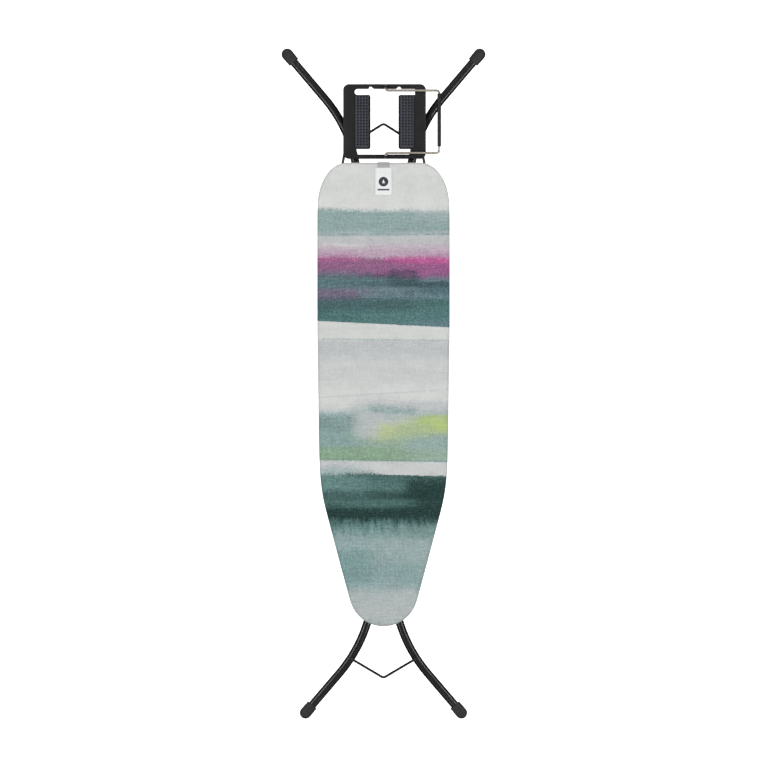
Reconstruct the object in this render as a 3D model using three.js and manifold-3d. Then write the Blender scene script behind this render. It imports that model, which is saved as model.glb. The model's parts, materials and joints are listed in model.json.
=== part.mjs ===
// A folding ironing board, lying folded with its ironing face up.
// Millimetres. +Y runs from the nose to the iron rest, +X is to the right of someone who looks down on the face with
// the iron rest at the top, and +Z is up, out of the face. The origin is on the surface that the feet lie on.
import * as THREE from 'three';
import { mergeVertices } from 'three/addons/utils/BufferGeometryUtils.js';
import Module from 'manifold-3d';

const wasm = await Module();
wasm.setup();

const { PI, sin, cos, tan } = Math;
const degrees = PI / 180;
const GAP = 0.3; // between pieces that touch

// Board
const NOSE_Y = -579;
const REAR_Y = 526.7;
const NOSE_RADIUS = 83;
const NOSE_TAPER = 14.9 * degrees; // each side's slant behind the nose
const WAIST_X = 153.4; // half width where the taper has blended out
const WAIST_Y = -176;
const HALF_WIDTH = 158;
const WIDEST_Y = 115;
const REAR_CORNER_X = 68; // the rear corners are quarter ellipses
const REAR_CORNER_Y = 105;

// Heights of the layers, from the surface that the folded board lies on
const TUBE_Z = 13.5;
const HINGE_Z = 33;
const HEM_Z = 44;
const RIM_Z = 46;
const RIM_TOP_Z = 56.9;
const RIB_Z = 52.9;
const MESH_Z = 57.2;
const PAD_Z = 58.1;
const FACE_Z = 66;

// Legs: each is a pair of bent tubes, hinged to the board at one end and crossing the other leg at y = 0
const FOLD_Y = 379; // from the crossing to each leg's upper hinge
const FOOT_Y = 789; // from the crossing to the centre of a foot cap's round end
const TUBE_RADIUS = 10;
const TUBE_BORE = 8.8;
const OUTER_LEG = { x: 61.6, bendY: 468, bendRadius: 332, splay: 40.3 * degrees };
const INNER_LEG = { x: 23.7, bendY: 472, bendRadius: 342, splay: 40.5 * degrees };
const CAP_RADIUS = 14;
const BRACE_RADIUS = 2.5;
const PIN_RADIUS = 4;
const PIN_CLEARANCE = 0.3;

// Guide rails, glides and the lock bar
const RAIL_INNER_X = 34.5;
const RAIL_OUTER_X = 50.5;
const RAIL_START_Y = 58;
const RAIL_END_Y = 405;
const RAIL_HEIGHT = 20;
const SHEET = 1.5;
const LOCK_ANGLES = [0, 22, 30, 35, 40, 45, 50]; // fold angles, in degrees, that the lock bar has a notch for
const LOCK_HINGE_X = -25;
const LOCK_HINGE_Z = 47.5;
const LEVER_Y = 426;

// Iron rest and iron stop
const REST = { left: -96.3, right: 101.3, low: 536.6, high: 715.1, corner: 14 };
const REST_Z = 41.5; // underside of the plate
const REST_TOP_Z = REST_Z + SHEET;
const STOP_RADIUS = 2.65;
const STOP_Z = 46.3;
const STOP_PIVOT_X = 4.8;
const STOP_BAR_X = 133;
const STOP_LOW_Y = 550.4;
const STOP_HIGH_Y = 699.4;

const blackSteel = new THREE.MeshStandardMaterial({ color: 0x1c1c1c, roughness: 0.35, metalness: 0.3 });
const satinPlate = new THREE.MeshStandardMaterial({ color: 0x252525, roughness: 0.5, metalness: 0.3 });
const blackRubber = new THREE.MeshStandardMaterial({ color: 0x1a1a1b, roughness: 0.65, metalness: 0 });
const darkPlastic = new THREE.MeshStandardMaterial({ color: 0x202021, roughness: 0.45, metalness: 0 });
const nickelWire = new THREE.MeshStandardMaterial({ color: 0xc9c4bc, roughness: 0.25, metalness: 1 });
const zincSteel = new THREE.MeshStandardMaterial({ color: 0xa8abad, roughness: 0.4, metalness: 1 });
const galvanised = new THREE.MeshStandardMaterial({ color: 0x9da1a3, roughness: 0.5, metalness: 0.9 });
const coverCotton = new THREE.MeshStandardMaterial({ color: 0xc4cbc9, roughness: 0.9, metalness: 0 });
const feltPadding = new THREE.MeshStandardMaterial({ color: 0xd9d6cc, roughness: 1, metalness: 0 });
const labelCloth = new THREE.MeshStandardMaterial({ color: 0xf0f0ee, roughness: 0.8, metalness: 0 });
const tabCloth = new THREE.MeshStandardMaterial({ color: 0xa6a6aa, roughness: 0.8, metalness: 0 });

// ---- Helpers ----

function add(group, name, geometry, material) {
  const mesh = new THREE.Mesh(geometry, material);
  mesh.name = name;
  group.add(mesh);
  return mesh;
}

function box(x, y, z) {
  const size = [x, y, z].map(([low, high]) => high - low);
  const middle = [x, y, z].map(([low, high]) => (low + high) / 2);
  return new THREE.BoxGeometry(...size).translate(...middle);
}

// A geometry as a manifold solid, for cutting and joining.
function solid(geometry) {
  const bare = geometry.clone();
  for (const name of Object.keys(bare.attributes)) {
    if (name !== 'position') bare.deleteAttribute(name);
  }
  const merged = mergeVertices(bare, 1e-4);
  return new wasm.Manifold(new wasm.Mesh({
    numProp: 3,
    vertProperties: new Float32Array(merged.attributes.position.array),
    triVerts: new Uint32Array(merged.index.array),
  }));
}

function fromSolid(body) {
  const mesh = body.getMesh();
  const geometry = new THREE.BufferGeometry();
  geometry.setAttribute('position', new THREE.BufferAttribute(mesh.vertProperties, 3));
  geometry.setIndex(new THREE.BufferAttribute(mesh.triVerts, 1));
  geometry.computeVertexNormals();
  return geometry;
}

function join(...geometries) {
  return fromSolid(geometries.map(solid).reduce((a, b) => a.add(b)));
}

function cut(geometry, ...tools) {
  return fromSolid(tools.map(solid).reduce((a, b) => a.subtract(b), solid(geometry)));
}

// A cylinder, or with a bore a pipe, along X from x0 to x1.
function roundBar(radius, bore, [x0, x1], y, z, sides = 12) {
  const profile = [[bore, x0], [radius, x0], [radius, x1], [bore, x1]].map(([r, a]) => new THREE.Vector2(r, a));
  if (bore > 0) profile.push(profile[0].clone());
  return new THREE.LatheGeometry(profile, sides).rotateZ(-PI / 2).translate(0, y, z);
}

// The same along Y.
function roundBarY(radius, bore, y, x, z, sides = 12) {
  return roundBar(radius, bore, y, 0, 0, sides).rotateZ(PI / 2).translate(x, 0, z);
}

// A flat plate drawn in the YZ plane, with its thickness along X.
function sidePlate(shape, [x0, x1]) {
  const plate = new THREE.ExtrudeGeometry(shape, { depth: x1 - x0, bevelEnabled: false, curveSegments: 6 });
  const turn = new THREE.Matrix4().makeBasis(
    new THREE.Vector3(0, 1, 0), new THREE.Vector3(0, 0, 1), new THREE.Vector3(1, 0, 0));
  return plate.applyMatrix4(turn).translate(x0, 0, 0);
}

// A flat plate drawn in the XZ plane, with its thickness along Y.
function crossPlate(points, [y0, y1]) {
  const shape = new THREE.Shape(points.map(([x, z]) => new THREE.Vector2(x, z)));
  const plate = new THREE.ExtrudeGeometry(shape, { depth: y1 - y0, bevelEnabled: false });
  return plate.rotateX(PI / 2).translate(0, y1, 0);
}

// A flat plate drawn in the XY plane, from z0 to z1.
function flatPlate(shape, [z0, z1]) {
  const settings = { depth: z1 - z0, bevelEnabled: false, curveSegments: 5 };
  return new THREE.ExtrudeGeometry(shape, settings).translate(0, 0, z0);
}

// A path through numbered stations, one even step of the parameter from each to the next.
class StationPath extends THREE.Curve {
  constructor(stations) {
    super();
    this.stations = stations;
    this.steps = stations.length - 1;
  }

  getUtoTmapping(u) {
    return u;
  }

  getPoint(t) {
    const place = Math.min(Math.max(t, 0), 1) * this.steps;
    const index = Math.min(Math.floor(place), this.steps - 1);
    return this.stations[index].clone().lerp(this.stations[index + 1], place - index);
  }
}

// Straight runs between corners, with each inner corner rounded to the bend radius.
function bentPath(corners, bendRadius, bendSteps) {
  const points = corners.map((corner) => new THREE.Vector3(...corner));
  const stations = [points[0]];
  for (let i = 1; i < points.length - 1; i++) {
    const arriving = points[i].clone().sub(points[i - 1]).normalize();
    const leaving = points[i + 1].clone().sub(points[i]).normalize();
    const turn = arriving.angleTo(leaving);
    const axis = arriving.clone().cross(leaving).normalize();
    const spoke = arriving.clone().cross(axis).multiplyScalar(bendRadius);
    const start = points[i].clone().addScaledVector(arriving, -bendRadius * tan(turn / 2));
    const centre = start.sub(spoke);
    for (let step = 0; step <= bendSteps; step++) {
      stations.push(spoke.clone().applyAxisAngle(axis, turn * step / bendSteps).add(centre));
    }
  }
  stations.push(points.at(-1));
  return new StationPath(stations);
}

function tube(path, radius, bore, halfSides) {
  const section = new THREE.Shape().absarc(0, 0, radius, 0, 2 * PI, false);
  if (bore > 0) section.holes.push(new THREE.Path().absarc(0, 0, bore, 0, 2 * PI, true));
  const settings = { steps: path.steps, extrudePath: path, curveSegments: halfSides };
  return new THREE.ExtrudeGeometry(section, settings);
}

// ---- Board outline and layers ----

// Points on the right half of the outline, nose tip to rear middle, each moved inwards by the inset.
function halfOutline(inset) {
  const noseCentreY = NOSE_Y + NOSE_RADIUS;
  const tangentX = NOSE_RADIUS * cos(NOSE_TAPER);
  const tangentY = noseCentreY - NOSE_RADIUS * sin(NOSE_TAPER);
  const slant = tan(NOSE_TAPER);
  const blendY = WAIST_Y - 120;
  const sideSlope = (HALF_WIDTH - WAIST_X) / (WIDEST_Y - WAIST_Y);
  // where the taper's line meets the line of the nearly straight side
  const meetY = (WAIST_X - sideSlope * WAIST_Y - tangentX + slant * tangentY) / (slant - sideSlope);
  const points = [];
  const put = (x, y, normalX, normalY) => {
    const length = Math.hypot(normalX, normalY);
    points.push([x - inset * normalX / length, y - inset * normalY / length]);
  };
  const noseSteps = 8;
  for (let i = 0; i <= noseSteps; i++) {
    const angle = -PI / 2 + (PI / 2 - NOSE_TAPER) * i / noseSteps;
    put(NOSE_RADIUS * cos(angle), noseCentreY + NOSE_RADIUS * sin(angle), cos(angle), sin(angle));
  }
  const blend = new THREE.QuadraticBezierCurve(
    new THREE.Vector2(tangentX + slant * (blendY - tangentY), blendY),
    new THREE.Vector2(tangentX + slant * (meetY - tangentY), meetY),
    new THREE.Vector2(WAIST_X, WAIST_Y));
  for (let i = 0; i <= 4; i++) {
    const point = blend.getPoint(i / 4);
    const heading = blend.getTangent(i / 4);
    put(point.x, point.y, heading.y, -heading.x);
  }
  put(HALF_WIDTH, WIDEST_Y, 1, 0);
  const cornerSteps = 8;
  for (let i = 0; i <= cornerSteps; i++) {
    const angle = PI / 2 * i / cornerSteps;
    const x = HALF_WIDTH - REAR_CORNER_X * (1 - cos(angle));
    const y = REAR_Y - REAR_CORNER_Y * (1 - sin(angle));
    put(x, y, cos(angle) / REAR_CORNER_X, sin(angle) / REAR_CORNER_Y);
  }
  put(0, REAR_Y, 0, 1);
  return points;
}

// The whole outline as a ring of points at one height, anticlockwise from above.
function outlineRing(inset, z) {
  const right = halfOutline(inset);
  const left = right.slice(1, -1).reverse().map(([x, y]) => [-x, y]);
  return [...right, ...left].map(([x, y]) => new THREE.Vector3(x, y, z));
}

// Half the board's width at one y, less the inset.
function halfWidthAt(y, inset) {
  const points = halfOutline(inset);
  const after = points.findIndex((point, i) => i > 0 && point[1] >= y);
  const [x0, y0] = points[after - 1];
  const [x1, y1] = points[after];
  return x0 + (x1 - x0) * (y - y0) / (y1 - y0);
}

// A closed skin over rings of equal length. Without ends it closes from the last ring to the first.
function skin(rings, hasEnds) {
  const count = rings[0].length;
  const position = rings.flat().flatMap((point) => [point.x, point.y, point.z]);
  const index = [];
  const bands = hasEnds ? rings.length - 1 : rings.length;
  for (let r = 0; r < bands; r++) {
    for (let i = 0; i < count; i++) {
      const a = r * count + i;
      const b = r * count + (i + 1) % count;
      const c = (r + 1) % rings.length * count + (i + 1) % count;
      const d = (r + 1) % rings.length * count + i;
      index.push(a, b, c, a, c, d);
    }
  }
  if (hasEnds) {
    const faces = THREE.ShapeUtils.triangulateShape(rings[0].map((p) => new THREE.Vector2(p.x, p.y)), []);
    const last = (rings.length - 1) * count;
    for (const [a, b, c] of faces) index.push(a, c, b, last + a, last + b, last + c);
  }
  const geometry = new THREE.BufferGeometry();
  geometry.setAttribute('position', new THREE.Float32BufferAttribute(position, 3));
  geometry.setIndex(index);
  geometry.computeVertexNormals();
  return geometry;
}

function outlineSkin(profile, hasEnds) {
  return skin(profile.map(([inset, z]) => outlineRing(inset, z)), hasEnds);
}

// ---- Board ----

// The cover is a shallow cap whose hem is turned in under the rim. The profile runs from the middle of its inside,
// down the inner wall, round the hem and up the outer wall to the face.
function addCover(group) {
  const cloth = 1.6;
  const hem = 24;
  const profile = [
    [7, FACE_Z - cloth], [2.6, FACE_Z - 3.2], [cloth, FACE_Z - 6.5], [cloth, HEM_Z + 3.2],
    [2.8, HEM_Z + cloth], [hem, HEM_Z + cloth], [hem, HEM_Z], [3.2, HEM_Z], [0.3, HEM_Z + 3], [0, FACE_Z - 6.5],
    [1.2, FACE_Z - 2.4], [7, FACE_Z],
  ];
  add(group, 'cover', outlineSkin(profile, true), coverCotton);
}

function addPaddingAndTop(group) {
  const padEdge = 3;
  const padTop = FACE_Z - 2;
  const pad = [[padEdge, PAD_Z], [padEdge, padTop - 3], [padEdge + 5, padTop]];
  add(group, 'underlay_pad', outlineSkin(pad, true), feltPadding);
  const sheet = 0.6;
  add(group, 'mesh_top', outlineSkin([[3.2, MESH_Z], [3.2, MESH_Z + sheet]], true), galvanised);
}

// The rim is a channel rolled from sheet, open towards the middle of the board.
function addRim(group) {
  const outside = 3.2;
  const inside = 15;
  const lip = 10;
  const wall = 1.2;
  const profile = [
    [outside, RIM_Z], [outside, RIM_TOP_Z], [inside, RIM_TOP_Z], [inside, RIM_TOP_Z - wall],
    [outside + wall, RIM_TOP_Z - wall], [outside + wall, RIM_Z + wall], [lip, RIM_Z + wall], [lip, RIM_Z],
  ];
  add(group, 'board_rim', outlineSkin(profile, false), blackSteel);
}

// Flat steel ribs lie across the board, inside the rim's channel, and carry everything that hangs under it.
const ribs = { hinge: -FOLD_Y, rail_front: 72, rail_middle: 240, rail_rear: 392, rest: 461 };

function addRibs(group) {
  const thickness = 2.5;
  const halfDepth = 10;
  const rimClearance = 6;
  for (const [name, y] of Object.entries(ribs)) {
    const reach = Math.min(halfWidthAt(y - halfDepth, rimClearance), halfWidthAt(y + halfDepth, rimClearance));
    const rib = box([-reach, reach], [y - halfDepth, y + halfDepth], [RIB_Z, RIB_Z + thickness]);
    add(group, `${name}_rib`, rib, blackSteel);
  }
}

// The guide rails are channels that face each other. Short posts on top carry them from the ribs, and a stop at the
// rear end of each holds the glide when the legs lie folded.
function addRails(group) {
  const bottom = HINGE_Z - RAIL_HEIGHT / 2;
  const top = HINGE_Z + RAIL_HEIGHT / 2;
  const posts = [ribs.rail_front, ribs.rail_middle, ribs.rail_rear];
  for (const [side, sign] of [['left', -1], ['right', 1]]) {
    const at = (near, far) => [near * sign, far * sign].sort((a, b) => a - b);
    const outside = box(at(RAIL_INNER_X, RAIL_OUTER_X), [RAIL_START_Y, RAIL_END_Y], [bottom, top]);
    const inside = box(at(RAIL_INNER_X - 1, RAIL_OUTER_X - SHEET), [RAIL_START_Y - 1, RAIL_END_Y + 1],
      [bottom + SHEET, top - SHEET]);
    const standoffs = posts.map((y) => box(at(RAIL_INNER_X + 4, RAIL_OUTER_X), [y - 7, y + 7],
      [top - SHEET / 2, RIB_Z - GAP]));
    add(group, `guide_rail_${side}`, join(cut(outside, inside), ...standoffs), blackSteel);
    const stop = box(at(RAIL_INNER_X + 1, RAIL_OUTER_X - SHEET - GAP), [FOLD_Y + 14.5, RAIL_END_Y],
      [bottom + SHEET + GAP, top - SHEET - GAP]);
    add(group, `rail_stop_${side}`, stop, blackRubber);
  }
}

// The outer leg turns on a rod between two folded brackets under the hinge rib.
function addLegHinge(group) {
  const y = -FOLD_Y;
  const hang = [HINGE_Z - 9, RIB_Z - GAP];
  for (const [side, sign] of [['left', -1], ['right', 1]]) {
    const at = (near, far) => [near * sign, far * sign].sort((a, b) => a - b);
    const bracket = join(box(at(75.6, 78.6), [y - 11, y + 11], hang),
      box(at(75.6, 96), [y - 11, y + 11], [hang[1] - 2.5, hang[1]]));
    const hole = roundBar(PIN_RADIUS + PIN_CLEARANCE, 0, [-120, 120], y, HINGE_Z);
    add(group, `leg_hinge_bracket_${side}`, cut(bracket, hole), blackSteel);
  }
  add(group, 'leg_hinge_rod', headedRod(79, 85, y, HINGE_Z), zincSteel);
}

// A rod along X with a flat head on each end.
function headedRod(shankX, headX, y, z) {
  const headRadius = 6.5;
  const profile = [[0, -headX], [headRadius, -headX], [headRadius, -shankX], [PIN_RADIUS, -shankX],
    [PIN_RADIUS, shankX], [headRadius, shankX], [headRadius, headX], [0, headX]];
  const points = profile.map(([r, a]) => new THREE.Vector2(r, a));
  return new THREE.LatheGeometry(points, 12).rotateZ(-PI / 2).translate(0, y, z);
}

const LABEL_WIDTH = 40;
const LABEL_LOW_Y = 449;
const LABEL_HIGH_Y = 513.7;

// A woven label on the face, held by a tab that is sewn down round the rear edge.
function addLabel(group) {
  const thickness = 0.6;
  const z = FACE_Z + GAP;
  const label = box([-LABEL_WIDTH / 2, LABEL_WIDTH / 2], [LABEL_LOW_Y, LABEL_HIGH_Y], [z, z + thickness]);
  add(group, 'cover_label', label, labelCloth);
  const under = [[LABEL_HIGH_Y + GAP, z], [REAR_Y - 7, z], [REAR_Y - 0.9, FACE_Z - 2.3],
    [REAR_Y + GAP, FACE_Z - 6.4], [REAR_Y + GAP, FACE_Z - 10]];
  const over = [[REAR_Y + GAP + thickness, FACE_Z - 10], [REAR_Y + GAP + thickness, FACE_Z - 6.3],
    [REAR_Y - 0.4, FACE_Z - 1.9], [REAR_Y - 6.8, z + thickness], [LABEL_HIGH_Y + GAP, z + thickness]];
  const shape = new THREE.Shape([...under, ...over].map(([y, height]) => new THREE.Vector2(y, height)));
  add(group, 'label_tab', sidePlate(shape, [-14, 14]), tabCloth);
}

// ---- Legs ----

// The centre line of one bent tube, from behind the upper hinge to inside the foot cap. The leg's feet are towards
// `end` (+1 or -1 along Y) and `side` is its side of the board.
function legPath({ x, bendY, bendRadius, splay }, end, side) {
  const cornerY = bendY + bendRadius * tan(splay / 2);
  const reach = (FOOT_Y - cornerY) / cos(splay);
  const corners = [
    [side * x, -end * (FOLD_Y + 10), TUBE_Z],
    [side * x, end * cornerY, TUBE_Z],
    [side * (x + reach * sin(splay)), end * FOOT_Y, TUBE_Z],
  ];
  return bentPath(corners, bendRadius, 8);
}

function footPosition({ x, bendY, bendRadius, splay }) {
  const cornerY = bendY + bendRadius * tan(splay / 2);
  return x + (FOOT_Y - cornerY) * tan(splay);
}

function addLegTubes(group, prefix, leg, end) {
  for (const [name, side] of [['left', -1], ['right', 1]]) {
    const bare = tube(legPath(leg, end, side), TUBE_RADIUS, TUBE_BORE, 6);
    const hole = roundBar(PIN_RADIUS + PIN_CLEARANCE, 0, [-100, 100], 0, TUBE_Z);
    add(group, `${prefix}_tube_${name}`, cut(bare, hole), blackSteel);
  }
}

// A foot cap is a socket with a ball end, flattened below where it stands and above.
function addFootCaps(group, prefix, leg, end) {
  const length = 24.5;
  const socket = TUBE_RADIUS + GAP;
  const profile = [[0, 2], [socket, 2], [socket, -length], [CAP_RADIUS - 1.6, -length],
    [CAP_RADIUS - 0.9, -length + 1.5], [CAP_RADIUS, -12]];
  for (let i = 0; i <= 5; i++) {
    const angle = PI / 2 * i / 5;
    profile.push([i === 5 ? 0 : CAP_RADIUS * cos(angle), CAP_RADIUS * sin(angle)]);
  }
  const points = profile.map(([r, along]) => new THREE.Vector2(r, along));
  const x = footPosition(leg);
  for (const [name, side] of [['left', -1], ['right', 1]]) {
    const turn = end > 0 ? -side * leg.splay : PI + side * leg.splay;
    const ball = new THREE.LatheGeometry(points, 16).rotateY(PI / 2).rotateZ(turn);
    ball.translate(side * x, end * FOOT_Y, TUBE_Z);
    const span = [[side * x - 60, side * x + 60], [end * FOOT_Y - 60, end * FOOT_Y + 60]];
    const below = box(...span, [-10, 0]);
    const above = box(...span, [2 * TUBE_Z, 2 * TUBE_Z + 10]);
    add(group, `${prefix}_foot_cap_${name}`, cut(ball, below, above), darkPlastic);
  }
}

// A bent wire laid on the two tubes, which ties them where they part.
function addBrace(group, prefix, endX, endY, apexY) {
  const z = TUBE_Z + TUBE_RADIUS + BRACE_RADIUS + GAP;
  const path = bentPath([[-endX, endY, z], [0, apexY, z], [endX, endY, z]], 9, 6);
  add(group, `${prefix}_brace`, tube(path, BRACE_RADIUS, 0, 4), blackSteel);
}

// A lug stands up from a tube to the hinge line, with an eye for the pin.
function lug(y, x, eyeRadius) {
  const shape = new THREE.Shape();
  shape.moveTo(y - 9, TUBE_Z - 4);
  shape.lineTo(y + 9, TUBE_Z - 4);
  shape.absarc(y, HINGE_Z, 9, 0, PI, false);
  shape.holes.push(new THREE.Path().absarc(y, HINGE_Z, eyeRadius, 0, 2 * PI, true));
  return sidePlate(shape, x);
}

function addOuterLeg(group) {
  const y = -FOLD_Y;
  addLegTubes(group, 'outer_leg', OUTER_LEG, 1);
  addFootCaps(group, 'outer_leg', OUTER_LEG, 1);
  addBrace(group, 'outer_leg', 78.4, 572, 622);
  const outside = OUTER_LEG.x + TUBE_RADIUS + GAP;
  add(group, 'outer_leg_lug_left', lug(y, [-outside - 3, -outside], PIN_RADIUS + PIN_CLEARANCE), blackSteel);
  add(group, 'outer_leg_lug_right', lug(y, [outside, outside + 3], PIN_RADIUS + PIN_CLEARANCE), blackSteel);
  const sleeve = roundBar(8, PIN_RADIUS + 1, [-outside + GAP, outside - GAP], y, HINGE_Z);
  add(group, 'outer_leg_hinge_tube', sleeve, blackSteel);
}

// The legs cross on one long rod at y = 0, with spacers between the tubes.
function addCrossing(group) {
  const outside = OUTER_LEG.x + TUBE_RADIUS + 2 * GAP;
  add(group, 'crossing_rod', headedRod(outside, outside + 5, 0, TUBE_Z), zincSteel);
  const near = INNER_LEG.x + TUBE_RADIUS + GAP;
  const far = OUTER_LEG.x - TUBE_RADIUS - GAP;
  const bore = PIN_RADIUS + PIN_CLEARANCE;
  add(group, 'crossing_spacer_left', roundBar(7, bore, [-far, -near], 0, TUBE_Z), darkPlastic);
  add(group, 'crossing_spacer_right', roundBar(7, bore, [near, far], 0, TUBE_Z), darkPlastic);
}

function addInnerLeg(group) {
  addLegTubes(group, 'inner_leg', INNER_LEG, -1);
  addFootCaps(group, 'inner_leg', INNER_LEG, -1);
  addBrace(group, 'inner_leg', 78.4, -657.6, -704);
  const inside = INNER_LEG.x - TUBE_RADIUS - GAP;
  add(group, 'inner_leg_lug_left', lug(FOLD_Y, [-inside, -inside + 3], 8 + GAP), blackSteel);
  add(group, 'inner_leg_lug_right', lug(FOLD_Y, [inside - 3, inside], 8 + GAP), blackSteel);
}

// ---- Glides ----

function addCrossbar(group) {
  const reach = RAIL_INNER_X - 2 * GAP;
  add(group, 'inner_leg_crossbar', roundBar(8, PIN_RADIUS + GAP, [-reach, reach], FOLD_Y, HINGE_Z), blackSteel);
}

// Each glide is a plastic shoe that slides in a guide rail on the crossbar's axle.
function addGlides(group) {
  const reach = RAIL_OUTER_X - SHEET - 2 * GAP;
  add(group, 'glide_axle', roundBar(PIN_RADIUS, 0, [-reach, reach], FOLD_Y, HINGE_Z), zincSteel);
  const halfLength = 14;
  const halfHeight = RAIL_HEIGHT / 2 - SHEET - 0.4;
  const nose = 4;
  const corners = [[-halfLength, nose - halfHeight], [nose - halfLength, -halfHeight], [halfLength - nose, -halfHeight],
    [halfLength, nose - halfHeight], [halfLength, halfHeight - nose], [halfLength - nose, halfHeight],
    [nose - halfLength, halfHeight], [-halfLength, halfHeight - nose]];
  const shape = new THREE.Shape(corners.map(([y, z]) => new THREE.Vector2(FOLD_Y + y, HINGE_Z + z)));
  shape.holes.push(new THREE.Path().absarc(FOLD_Y, HINGE_Z, PIN_RADIUS + GAP, 0, 2 * PI, true));
  const near = RAIL_INNER_X + 1;
  add(group, 'glide_shoe_left', sidePlate(shape, [-reach, -near]), darkPlastic);
  add(group, 'glide_shoe_right', sidePlate(shape, [near, reach]), darkPlastic);
}

// ---- Lock bar and release lever ----

// Where the crossbar is along the rails at a fold angle.
function crossbarY(angle) {
  return -FOLD_Y + 2 * (FOLD_Y * cos(angle) - (HINGE_Z - TUBE_Z) * sin(angle));
}

// The lock bar hangs beside its hinge rod. It drops over the crossbar so that a pair of teeth holds it at each height.
function addLockBar(group) {
  const top = 50;
  const tip = HINGE_Z + 8 + GAP;
  const root = tip + 3.2;
  const halfNotch = 7.2;
  const bladeEnd = LEVER_Y + 8;
  const bottom = LOCK_ANGLES.map((angle) => crossbarY(angle * degrees)).sort((a, b) => a - b).flatMap((y) => [
    [y - halfNotch - 9, root], [y - halfNotch - 6, tip], [y - halfNotch, tip], [y - halfNotch, root],
    [y + halfNotch, root], [y + halfNotch, tip], [y + halfNotch + 6, tip], [y + halfNotch + 9, root]]);
  const outline = [[RAIL_START_Y + 3, root], ...bottom, [bladeEnd, root], [bladeEnd, top], [RAIL_START_Y + 3, top]];
  const shape = new THREE.Shape(outline.map(([y, z]) => new THREE.Vector2(y, z)));
  const arms = [];
  for (const y of [[89, 101], [407, 419]]) {
    arms.push(box([LOCK_HINGE_X, 1.5], y, [top - 3, top]));
    arms.push(roundBarY(5, 0, y, LOCK_HINGE_X, LOCK_HINGE_Z));
  }
  const eye = roundBarY(2.8, 0, [50, 450], LOCK_HINGE_X, LOCK_HINGE_Z);
  add(group, 'lock_bar', cut(join(sidePlate(shape, [0, 3]), ...arms), eye), blackSteel);
}

function addReleaseLever(group) {
  const strap = [[-6, 50.3], [6.2, 50.3], [41, 38], [109, 38], [109, 40.4], [42, 40.4], [7, 52.5], [-6, 52.5]];
  add(group, 'release_lever', crossPlate(strap, [LEVER_Y - 8, LEVER_Y + 8]), blackSteel);
  const grip = box([82, 114], [LEVER_Y - 13, LEVER_Y + 13], [34.2, 44.2]);
  const slot = box([81, 109 + GAP], [LEVER_Y - 8 - GAP, LEVER_Y + 8 + GAP], [38 - GAP, 40.4 + GAP]);
  add(group, 'release_grip', cut(grip, slot), darkPlastic);
}

function addLockHinge(group) {
  const rod = roundBarY(2.5, 0, [70, 422], LOCK_HINGE_X, LOCK_HINGE_Z);
  add(group, 'lock_hinge_rod', rod, zincSteel);
  const eye = roundBarY(2.8, 0, [50, 450], LOCK_HINGE_X, LOCK_HINGE_Z);
  for (const [name, y] of [['front', [73, 80]], ['rear', [386, 394]]]) {
    const block = box([LOCK_HINGE_X - 6, LOCK_HINGE_X + 6], y, [43, RIB_Z - GAP]);
    add(group, `lock_hinge_block_${name}`, cut(block, eye), darkPlastic);
  }
  const spring = roundBarY(4.4, 2.9, [102, 124], LOCK_HINGE_X, LOCK_HINGE_Z);
  add(group, 'lock_spring', spring, zincSteel);
}

// ---- Iron rest ----

function roundedRectangle(shape, left, right, low, high, radius) {
  shape.moveTo(right - radius, low);
  shape.absarc(right - radius, low + radius, radius, -PI / 2, 0, false);
  shape.absarc(right - radius, high - radius, radius, 0, PI / 2, false);
  shape.absarc(left + radius, high - radius, radius, PI / 2, PI, false);
  shape.absarc(left + radius, low + radius, radius, PI, 1.5 * PI, false);
  shape.closePath();
  return shape;
}

const PAD_LEFT = [-67.4, -31];
const PAD_RIGHT = [35.7, 74.5];
const PAD_LOW_Y = 559.8;
const PAD_HIGH_Y = 689.4;

// The plate is a frame with a strip each side for a rubber pad. One opening runs between the strips and widens to a
// slot above and below them.
function restOpening() {
  const corner = 5;
  const opening = new THREE.Path();
  opening.moveTo(-62, 547);
  opening.lineTo(-66, PAD_LOW_Y);
  opening.absarc(PAD_LEFT[1] - corner, PAD_LOW_Y + corner, corner, -PI / 2, 0, false);
  opening.absarc(PAD_LEFT[1] - corner, PAD_HIGH_Y - corner, corner, 0, PI / 2, false);
  opening.absarc(-62, (PAD_HIGH_Y + 703.3) / 2, (703.3 - PAD_HIGH_Y) / 2, -PI / 2, PI / 2, true);
  opening.lineTo(-36, 703.3);
  opening.lineTo(-33, 708.5);
  opening.lineTo(-29, 708.5);
  opening.lineTo(-23, 703.3);
  opening.lineTo(30, 703.3);
  opening.lineTo(36, 708.5);
  opening.lineTo(39, 708.5);
  opening.lineTo(43, 703.3);
  opening.lineTo(75, 703.3);
  opening.lineTo(75, PAD_HIGH_Y);
  opening.absarc(PAD_RIGHT[0] + corner, PAD_HIGH_Y - corner, corner, PI / 2, PI, false);
  opening.absarc(PAD_RIGHT[0] + corner, PAD_LOW_Y + corner, corner, PI, 1.5 * PI, false);
  opening.lineTo(64, PAD_LOW_Y);
  opening.lineTo(63, 547);
  opening.closePath();
  return opening;
}

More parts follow.
